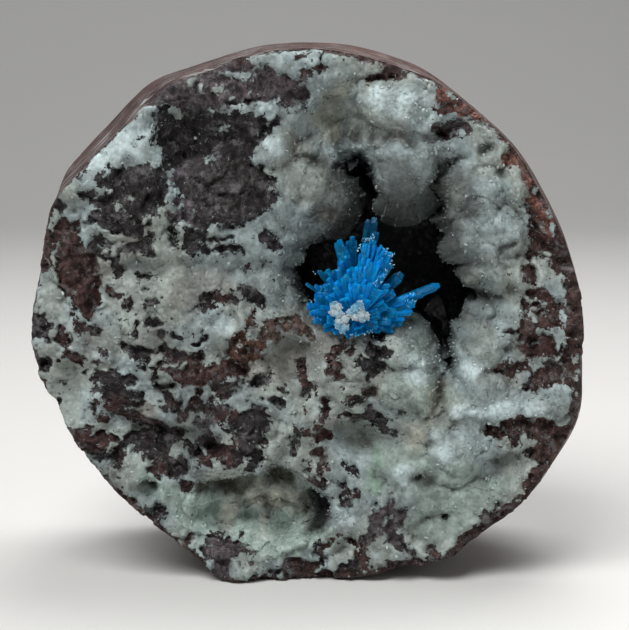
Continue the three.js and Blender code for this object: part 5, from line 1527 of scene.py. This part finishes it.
spray = {
    "root": (5.6, 3.6, 31.2),
    "rise": 1.3,  # a bundle's tip stands at most this far in front of its own root
    # tip x, depth and z, the bundle's width and thickness, number of blades, one blade's width, and painted
    # light and shade from 0, deep blue in shade at the back, to 1, bright lit azure in front
    "bundles": [
        (7.5, 3.6, 43.0, 1.3, 0.5, 4, 0.85, 0.05), (7.9, 2.8, 41.6, 1.0, 0.5, 3, 0.7, 0.15),
        (5.4, 2.4, 41.1, 0.6, 0.4, 3, 0.55, 0.35), (4.6, 2.2, 40.4, 0.9, 0.5, 4, 0.6, 0.3),
        (3.5, 1.9, 40.5, 0.8, 0.5, 4, 0.65, 0.45), (4.2, 1.0, 39.0, 1.2, 0.6, 6, 0.5, 0.6),
        (6.8, -0.8, 40.4, 0.8, 1.0, 12, 0.34, 1.0), (7.7, -0.5, 40.7, 1.0, 1.2, 14, 0.34, 1.0),
        (8.7, -0.5, 39.9, 1.0, 1.2, 14, 0.34, 1.0), (9.5, -0.4, 39.3, 0.8, 1.0, 12, 0.34, 0.9),
        (9.8, -0.2, 38.3, 0.8, 1.0, 10, 0.34, 0.75), (6.4, -1.0, 39.1, 0.8, 0.9, 9, 0.34, 0.95),
        (7.6, -1.2, 38.6, 1.8, 0.8, 10, 0.45, 1.0), (6.0, -1.2, 37.6, 1.5, 0.8, 9, 0.45, 0.95),
        (8.8, -1.1, 37.0, 1.1, 0.7, 8, 0.42, 0.85), (4.9, -0.6, 37.8, 0.9, 0.6, 5, 0.5, 0.75),
        (3.5, 0.2, 38.2, 0.9, 0.6, 4, 0.6, 0.75), (4.2, -0.9, 36.8, 1.1, 0.6, 5, 0.6, 0.85),
        (2.4, 1.2, 37.2, 0.8, 0.5, 4, 0.5, 0.45), (1.6, 1.6, 37.5, 0.7, 0.5, 3, 0.5, 0.3),
        (1.1, 1.9, 36.8, 0.5, 0.4, 3, 0.4, 0.3), (2.0, 0.2, 36.0, 0.9, 0.5, 5, 0.5, 0.7),
        (0.7, 1.0, 35.2, 0.5, 0.4, 2, 0.45, 0.45), (-0.3, 1.5, 35.2, 0.3, 0.3, 1, 0.5, 0.4),
        (0.6, 0.6, 34.0, 0.7, 0.5, 4, 0.45, 0.6), (-0.6, 1.1, 32.7, 0.5, 0.5, 3, 0.6, 0.65),
        (0.0, 0.8, 31.8, 0.7, 0.5, 4, 0.5, 0.7), (0.6, 0.4, 30.9, 0.7, 0.5, 4, 0.5, 0.6),
        (1.6, 0.0, 30.0, 0.9, 0.5, 5, 0.45, 0.6), (2.8, -0.2, 29.5, 0.9, 0.5, 5, 0.45, 0.55),
        (4.2, -0.4, 29.1, 1.0, 0.5, 6, 0.45, 0.55), (5.8, -0.8, 29.2, 1.2, 0.6, 7, 0.45, 0.75),
        (7.2, -0.4, 29.6, 1.0, 0.5, 6, 0.45, 0.6), (8.6, 0.0, 29.8, 1.0, 0.5, 6, 0.45, 0.55),
        (10.2, 0.8, 29.8, 0.9, 0.5, 4, 0.6, 0.5), (11.2, 1.2, 30.4, 0.8, 0.5, 3, 0.75, 0.55),
        (11.4, 0.8, 31.4, 0.8, 0.6, 5, 0.5, 0.8), (12.4, 0.6, 32.1, 0.7, 0.5, 4, 0.5, 0.85),
        (12.6, 0.5, 33.0, 0.8, 0.5, 5, 0.45, 0.9), (12.7, 0.3, 34.1, 0.6, 0.5, 3, 0.5, 0.95),
        (11.6, 0.2, 33.6, 0.9, 0.6, 6, 0.42, 0.9), (15.4, 1.1, 35.1, 0.2, 0.2, 1, 1.05, 0.35),
        (13.6, 1.1, 34.1, 0.3, 0.2, 1, 0.8, 0.45), (11.3, 1.3, 36.7, 0.4, 0.3, 2, 1.15, 0.2),
        (10.7, 1.0, 36.0, 0.5, 0.3, 2, 0.8, 0.3), (10.2, -0.2, 34.6, 1.0, 0.6, 6, 0.45, 0.6),
        (9.5, -0.8, 35.4, 0.9, 0.5, 5, 0.45, 0.65), (8.4, -1.2, 35.2, 1.2, 0.6, 7, 0.45, 0.85),
        (2.0, -0.4, 34.4, 1.0, 0.6, 5, 0.5, 0.75), (3.0, -0.9, 35.6, 1.1, 0.7, 7, 0.5, 0.85),
        (5.4, -1.5, 35.8, 1.5, 0.7, 9, 0.5, 0.95), (7.0, -1.5, 36.0, 1.2, 0.7, 8, 0.46, 0.95),
        (4.0, -1.4, 34.2, 1.3, 0.6, 7, 0.5, 0.9), (6.8, -1.6, 34.2, 1.2, 0.6, 7, 0.5, 0.9),
        (1.0, -0.2, 32.4, 0.9, 0.6, 6, 0.5, 0.8), (2.0, -0.9, 31.2, 1.0, 0.6, 6, 0.46, 0.75),
        (9.2, -1.0, 33.2, 1.1, 0.6, 6, 0.46, 0.7), (10.4, -0.4, 32.2, 1.0, 0.6, 6, 0.46, 0.6),
        (9.8, -0.5, 31.0, 1.0, 0.5, 5, 0.5, 0.45), (8.4, -1.0, 32.0, 1.1, 0.6, 6, 0.46, 0.5),
        (8.2, -0.9, 30.6, 1.0, 0.5, 5, 0.5, 0.4), (6.0, -1.7, 30.2, 1.1, 0.6, 7, 0.42, 0.95),
    ],
    "aside": 0.06,  # blades stray by up to this much across the bundle
    "lift": 0.35,  # and by this share of its thickness
    "shorter": 0.16,  # and are shorter by up to this share
    "start": (0.05, 0.3),  # they start at this share of the way from the root to the tip
    "fan": 0.45,  # and are there this share as far apart as at their tips
    "tilt": 0.6,  # of a blade's width out of the bundle's plane
    "width": (0.9, 1.5),  # share of the listed width
    "stray": (-0.14, 0.10),  # of a blade's lightness
    "thickness": (0.45, 0.75),  # share of a blade's width
    "point": (0.2, 0.7),  # length of a blade's pointed end, as a share of its width
    "chisel": (0.35, 0.9),  # width of the edge at its end, as a share
    # fused mass behind the blades: middle, radii across, deep and up, lean to the right, and painted light
    # and shade as for the bundles
    "bodies": [
        (5.2, 1.3, 33.4, 3.0, 1.5, 2.8, 0, 0.9), (6.9, 1.1, 36.4, 1.4, 1.2, 2.8, 14, 0.95),
        (8.2, 0.6, 38.2, 1.1, 0.7, 1.6, 20, 1.0), (4.4, 2.1, 37.0, 0.9, 0.6, 2.6, -4, 0.45),
        (2.4, 1.6, 33.1, 1.7, 0.9, 2.2, -20, 0.6), (8.6, 1.6, 32.2, 1.9, 1.0, 1.2, 10, 0.4),
        (6.2, 1.2, 31.2, 3.6, 1.2, 1.1, 4, 0.4),
    ],
    "bodyRings": (56, 72),
    "fibres": 0.22,  # relief of the mass along the blades
    # white frost: lines from one point to another, x, depth and z, and number of grains
    "frost": [
        (6.4, -1.2, 40.4, 7.6, -1.1, 40.9, 26), (6.0, -1.3, 39.3, 6.3, -1.2, 40.0, 10),
        (8.8, -0.9, 39.5, 9.8, -0.6, 38.6, 22), (9.8, -0.6, 38.4, 9.7, -0.7, 37.6, 9),
        (9.4, -1.1, 37.2, 8.6, -1.5, 36.4, 14), (8.7, -1.6, 36.0, 7.7, -1.9, 35.4, 13),
        (11.2, -0.1, 33.4, 12.4, -0.1, 34.3, 14), (11.6, 0.0, 32.8, 12.6, 0.1, 33.6, 10),
        (0.6, 0.2, 36.4, 1.0, 0.2, 36.8, 4), (0.0, 0.2, 33.6, 0.6, 0.1, 33.2, 6),
        (5.0, -1.9, 29.5, 7.8, -0.9, 29.9, 18), (1.0, 0.0, 31.6, 1.6, -0.4, 31.2, 4),
    ],
    "frostWidth": 0.16,
    "frostSize": (0.05, 0.15),
    "frostColour": (0.22, 0.58, 0.82),
    # blade colours by painted light and shade: deep blue in shade, middle, bright lit azure; tip is the
    # paler colour towards the tips
    "deep": (0.000, 0.032, 0.078),
    "middle": (0.000, 0.118, 0.290),
    "bright": (0.000, 0.255, 0.850),
    "tip": (0.000, 0.420, 0.900),
    "dust": (0.01, 0.42, 0.80),
    "bump": (0.00005, 0.6),  # height in metres, strength
    "shader": {
        "Transmission Weight": 0.12, "IOR": 1.54, "Specular IOR Level": 0.04,
        "Subsurface Weight": 0.6, "Subsurface Radius": (0.1, 0.5, 1.0), "Subsurface Scale": 0.0008,
    },
    "seed": 5,
}


# Each bundle's blades run side by side from the root's middle to tips spread over its width, and fan out
# only a little. Gives feet, tips, the way each is wide, width and painted light and shade.
def placeBlades(draw):
    centre = np.array(spray["root"])
    inwards = np.array([0, 1, 0])
    blades = []
    for x, depth, z, width, thickness, count, blade, light in spray["bundles"]:
        tip = np.array([x, depth, z])
        root = np.array([centre[0], min(centre[1], depth + spray["rise"]), centre[2]])
        run = tip - root
        across = np.cross(run / np.linalg.norm(run), inwards)
        across /= np.linalg.norm(across)
        slot = (np.arange(count) + 0.5) / count - 0.5
        stray = draw.uniform(-spray["aside"], spray["aside"], count)
        aside = across * (slot * max(width - 0.3 * blade, 0) + stray)[:, None]
        lift = draw.uniform(-spray["lift"], spray["lift"], count) * thickness
        shorter = draw.uniform(0, spray["shorter"], count) * (count > 1)
        end = tip + aside + inwards * lift[:, None] - run * shorter[:, None]
        start = draw.uniform(*spray["start"], count)[:, None]
        start = root + (end - root) * start + aside * spray["fan"]
        wide = blade * draw.uniform(*spray["width"], count)
        shade = np.clip(light + draw.uniform(*spray["stray"], count), 0, 1)
        side = across + inwards * draw.uniform(-spray["tilt"], spray["tilt"], count)[:, None]
        blades.append((start, end, side, wide, shade))
    return [np.concatenate(column) for column in zip(*blades)]


# Colour by painted light and shade, from deep blue in shade over middle to bright lit azure, and paler
# towards a blade's tip.
def bladeColour(shade, along):
    tones = zip(spray["deep"], spray["middle"], spray["bright"])
    colour = np.stack([np.interp(shade, (0, 0.4, 1), levels) for levels in tones], -1)
    paler = (0.05 + 0.35 * shade * (along > 0.95))[:, None] * (along > 0.5)[:, None]
    return colour + paler * (np.array(spray["tip"]) - colour)


# The spray: six-sided blades with chisel ends, the dark ones with a painted highlight along both edges, and
# the fused mass, whose relief is noise of the direction from the root.
def makeSpray():
    draw = np.random.default_rng(spray["seed"])
    feet, tips, sides, wide, light = placeBlades(draw)
    count = len(feet)
    run = tips - feet
    length = np.linalg.norm(run, axis=1)
    thick = wide * draw.uniform(*spray["thickness"], count)
    shoulder = 1 - np.minimum(draw.uniform(*spray["point"], count) * wide / length, 0.3)
    chisel = draw.uniform(*spray["chisel"], count)
    blades, faces, per = prismCloud(feet, run, sides, length, wide, thick, 6, shoulder, 0.8, chisel)
    along = np.tile([0.0] * 6 + [0.85] * 6 + [1.0] * 2, count)
    # painted highlight: the dark blades are made lighter along both edges
    edge = np.tile(np.abs(np.cos(np.arange(per) % 6 / 6 * 2 * math.pi)), count)
    shade = np.repeat(light, per)
    shade = shade + (0.22 * edge - 0.10) * (shade < 0.55)

    bodies = np.array(spray["bodies"])
    rings = spray["bodyRings"]
    mass, quads, caps, perBall = ballCloud(bodies[:, :3], bodies[:, 3:6], bodies[:, 6], *rings)
    out = mass - np.array(spray["root"])
    ray = out / np.linalg.norm(out, axis=1, keepdims=True)
    mass = mass + ray * (spray["fibres"] * rough(ray * 8, 0.9, 3, 15))[:, None]
    # painted light and shade of the fused mass
    massPaintedLight = np.repeat(bodies[:, 7], perBall) + 0.12 * softNoise(mass, 1.2, 16)

    along = np.append(along, np.full(len(mass), 0.6))
    colours = {"bladeColour": bladeColour(np.append(shade, massPaintedLight), along)}
    faces = [faces, quads + len(blades), caps + len(blades)]
    points = np.concatenate([blades, mass])
    soft = np.arange(sum(len(face) for face in faces)) >= len(faces[0])
    return makePiece("cavansiteSpray", placed(*points.T), faces, colours, smooth=soft)


# Blades: fibres are noise by direction from the root, the same all along a blade, under patches and
# pale dust.
def cavansiteMaterial():
    material, tree = blankMaterial("cavansite")
    where = placeOn(tree)
    ray = vectorNode(tree, "NORMALIZE", vectorNode(tree, "SUBTRACT", where, tuple(placed(*spray["root"]))))
    fibre = noiseAt(tree, vectorNode(tree, "MULTIPLY", ray, (0.008, 0.008, 0.008)), 0.55, 3.0, 0.7)
    patchy = rampNode(tree, noiseAt(tree, where, 1.6, 3.0, 0.6), 0.3, 0.72, 0.70, 1.2)
    lightness = times(tree, patchy, rampNode(tree, fibre, 0.3, 0.7, 0.76, 1.2))
    shade = scaledColour(tree, attributeAt(tree, "bladeColour", "Color"), lightness)
    dust = rampNode(tree, noiseAt(tree, where, 0.28, 3.0, 0.7), 0.62, 0.78, 0.0, 0.35)
    shade = mixColour(tree, dust, shade, spray["dust"])
    grain = fitted(tree, fibre, 3.0, noiseAt(tree, where, 0.16, 3.0, 0.6))
    roughness = rampNode(tree, noiseAt(tree, where, 0.5, 3.0, 0.6), 0.3, 0.7, 0.10, 0.30)
    endMaterial(tree, shade, roughness, (grain, *spray["bump"]), spray["shader"])
    return material


# Frost: tiny leaning prisms along the listed lines.
def makeFrost():
    draw = np.random.default_rng(spray["seed"] + 1)
    lines = np.array(spray["frost"])
    pick = np.repeat(np.arange(len(lines)), lines[:, 6].astype(int))
    share = draw.uniform(0, 1, (len(pick), 1))
    foot = lines[pick, :3] * (1 - share) + lines[pick, 3:6] * share
    foot = foot + draw.normal(size=foot.shape) * spray["frostWidth"]
    size = draw.uniform(*spray["frostSize"], len(pick))
    axis = draw.normal(size=foot.shape) + np.array([0, -0.6, 0.5])
    side = draw.normal(size=foot.shape)
    points, faces, per = prismCloud(foot, axis, side, size * 2.2, size, size * 0.6, 4, 0.7, 0.9, 0.4)
    colour = np.array(spray["frostColour"]) * draw.uniform(0.7, 1.3, (len(pick), 1))
    colours = {"grainColour": np.repeat(colour, per, axis=0)}
    return makePiece("sprayFrost", placed(*points.T), [faces], colours, smooth=False)


bud = {
    # lumps: x, depth, z and radius
    "lumps": [
        (3.0, -1.6, 33.0, 0.55), (3.5, -1.8, 32.9, 0.55), (2.9, -1.7, 32.2, 0.5), (3.6, -1.9, 32.1, 0.6),
        (4.3, -2.0, 31.5, 0.62), (3.6, -1.8, 31.2, 0.6), (3.5, -1.7, 30.6, 0.5), (4.3, -1.8, 30.6, 0.6),
        (4.0, -1.7, 30.1, 0.42), (4.9, -2.1, 32.2, 0.55), (5.5, -2.2, 32.7, 0.65), (6.1, -2.3, 32.9, 0.5),
        (6.2, -2.2, 32.1, 0.7), (6.7, -2.1, 31.8, 0.5), (5.5, -2.2, 31.8, 0.6), (6.3, -2.2, 31.5, 0.45),
        (6.0, -2.1, 33.3, 0.35),
    ],
    "core": 0.80,  # radius of a lump's rounded core, as a share
    "coreRings": (9, 12),
    "grainCount": 1300,
    "grainSize": (0.12, 0.26),
    "grainFar": (0.45, 0.85),  # from the lump's middle, as a share of its radius
    "middle": (4.8, 32.1),
    "white": (0.46, 0.56, 0.60),
    "blue": (0.16, 0.40, 0.57),
    "spot": (0.10, 0.30, 0.42),
    "seed": 9,
}


# The bud: lumps with rounded cores, covered with blunt grains that point outwards, more of them in
# front. White turns to blue by noise and away from the middle.
def makeBud():
    draw = np.random.default_rng(bud["seed"])
    lumps = np.array(bud["lumps"])
    count = bud["grainCount"]
    pick = draw.integers(0, len(lumps), count)
    out = draw.normal(size=(count, 3))
    out[:, 1] -= 0.5
    out /= np.linalg.norm(out, axis=1, keepdims=True)
    centre = lumps[pick, :3] + out * (lumps[pick, 3:] * draw.uniform(*bud["grainFar"], (count, 1)))
    size = draw.uniform(*bud["grainSize"], count)
    axis = out + 0.5 * draw.normal(size=out.shape)
    foot = centre - 0.5 * size[:, None] * axis
    side = draw.normal(size=out.shape)
    grain, faces, per = prismCloud(foot, axis, side, size * 1.5, size, size * 0.75, 6, 0.6, 0.8, 0.3)
    radii = np.repeat(lumps[:, 3:] * bud["core"], 3, axis=1)
    upright = np.zeros(len(lumps))
    cores, quads, caps, _ = ballCloud(lumps[:, :3], radii, upright, *bud["coreRings"])
    tone = np.append(np.repeat(draw.uniform(0.85, 1.1, count), per), np.full(len(cores), 0.9))

    points = np.concatenate([grain, cores])
    points[:, 1] = np.maximum(points[:, 1], -layout["proudest"])
    far = np.hypot(points[:, 0] - bud["middle"][0], points[:, 2] - bud["middle"][1])
    bluer = ease((softNoise(points, 0.9, 22) + 0.1) * 1.4 + 0.2 * (far - 1))
    white, blue = np.array(bud["white"]), np.array(bud["blue"])
    colour = (white + (blue - white) * bluer[:, None]) * tone[:, None]
    spots = (softNoise(points, 0.45, 21) > 0.62)[:, None]
    colours = {"grainColour": np.where(spots, np.array(bud["spot"]), colour)}
    faces = [faces, quads + len(grain), caps + len(grain)]
    return makePiece("zeoliteBud", placed(*points.T), faces, colours, smooth=False)


# Grains in their own colour, clouded by noise, smoother and rougher by another.
def grainMaterial(name, roughness, subsurface):
    material, tree = blankMaterial(name)
    where = placeOn(tree)
    cloud = rampNode(tree, noiseAt(tree, where, 0.35, 3.0, 0.6), 0.3, 0.75, 0.85, 1.15)
    shade = scaledColour(tree, attributeAt(tree, "grainColour", "Color"), cloud)
    low, high = roughness * 0.6, roughness * 1.6
    glossy = rampNode(tree, noiseAt(tree, where, 0.3, 2.0, 0.6), 0.3, 0.7, low, high)
    bump = (noiseAt(tree, where, 0.12, 2.0, 0.6), 0.00003, 0.5)
    endMaterial(tree, shade, glossy, bump, {
        "IOR": 1.5, "Subsurface Weight": subsurface,
        "Subsurface Radius": (1.0, 1.0, 0.95), "Subsurface Scale": 0.0004,
    })
    return material


druse = {
    "vugCount": 3600,
    "faceCount": 1300,
    "pocketCount": 900,
    "size": (0.16, 0.46),
    "sizeTrend": 1.6,  # above 1 there are more small ones
    "bigShare": 0.04,  # of crystals that are bigger by the next value
    "bigger": 1.8,
    "lean": 0.75,
    "sunk": 0.6,  # share of a crystal's size below the crust
    "deepest": 9,  # none further behind the front plane than this
    "seed": 17,
}


# Crystals scattered over a surface given as a grid of points, by area, only where the crust is whole.
# Each leans from the normal by chance and is sunk by about half.
def scatterDruse(name, grid, bare, colour, count, seed):
    draw = np.random.default_rng(seed)
    corner = grid[:-1, :-1]
    down, right = grid[1:, :-1] - corner, grid[:-1, 1:] - corner
    cross = np.cross(down, right)
    area = np.linalg.norm(cross, axis=-1)
    normal = cross / (area[..., None] + 1e-9)
    normal *= np.where(normal[..., 1] > 0, -1, 1)[..., None]
    weight = area * (bare[:-1, :-1] < -0.15) * (corner[..., 1] < druse["deepest"])
    pick = draw.choice(weight.size, count, p=(weight / weight.sum()).ravel())
    spot = corner + down * draw.uniform(size=(*area.shape, 1))
    spot = spot + right * draw.uniform(size=(*area.shape, 1))
    spot, up, shade = (values.reshape(-1, 3)[pick] for values in (spot, normal, colour[:-1, :-1]))
    low, high = druse["size"]
    size = draw.uniform(0, 1, count) ** druse["sizeTrend"] * (high - low) + low
    size *= np.where(draw.uniform(size=count) < druse["bigShare"], druse["bigger"], 1)
    axis = up + druse["lean"] * draw.normal(size=up.shape) * 0.6
    axis /= np.linalg.norm(axis, axis=1, keepdims=True)
    foot = spot - axis * size[:, None] * druse["sunk"]
    side = draw.normal(size=up.shape)
    length, width, thick = size * 1.25, size * 0.8, size * 0.55
    points, faces, per = prismCloud(foot, axis, side, length, width, thick, 4, 0.72, 0.9, 0.5)
    points[:, 1] = np.maximum(points[:, 1], -layout["proudest"])
    tone = np.repeat(draw.uniform(0.9, 1.25, count), per)[:, None]
    colours = {"grainColour": np.repeat(shade, per, axis=0) * tone}
    piece = makePiece(name, placed(*points.T), [faces], colours, smooth=False)
    piece.data.materials.append(druseGrains)
    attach(piece, "root")
    return piece


sprayPiece = makeSpray()
sprayPiece.data.materials.append(cavansiteMaterial())
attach(sprayPiece, "root")
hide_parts("cavansite_spray")
budPiece = makeBud()
budPiece.data.materials.append(grainMaterial("whiteZeolite", 0.3, 0.3))
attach(budPiece, "root")
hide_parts("zeolite_bud")
frostPiece = makeFrost()
frostPiece.data.materials.append(grainMaterial("sprayFrost", 0.15, 0.3))
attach(frostPiece, "root")
print("spray made")

druseGrains = grainMaterial("druseGrains", 0.22, 0.2)
scatterDruse("vugCrystals", *vugSkin, druse["vugCount"], druse["seed"])
scatterDruse("pocketCrystals", *pocketSkin, druse["pocketCount"], druse["seed"] + 1)
scatterDruse("faceCrystals", *faceSkin, druse["faceCount"], druse["seed"] + 2)
print("crystals scattered")
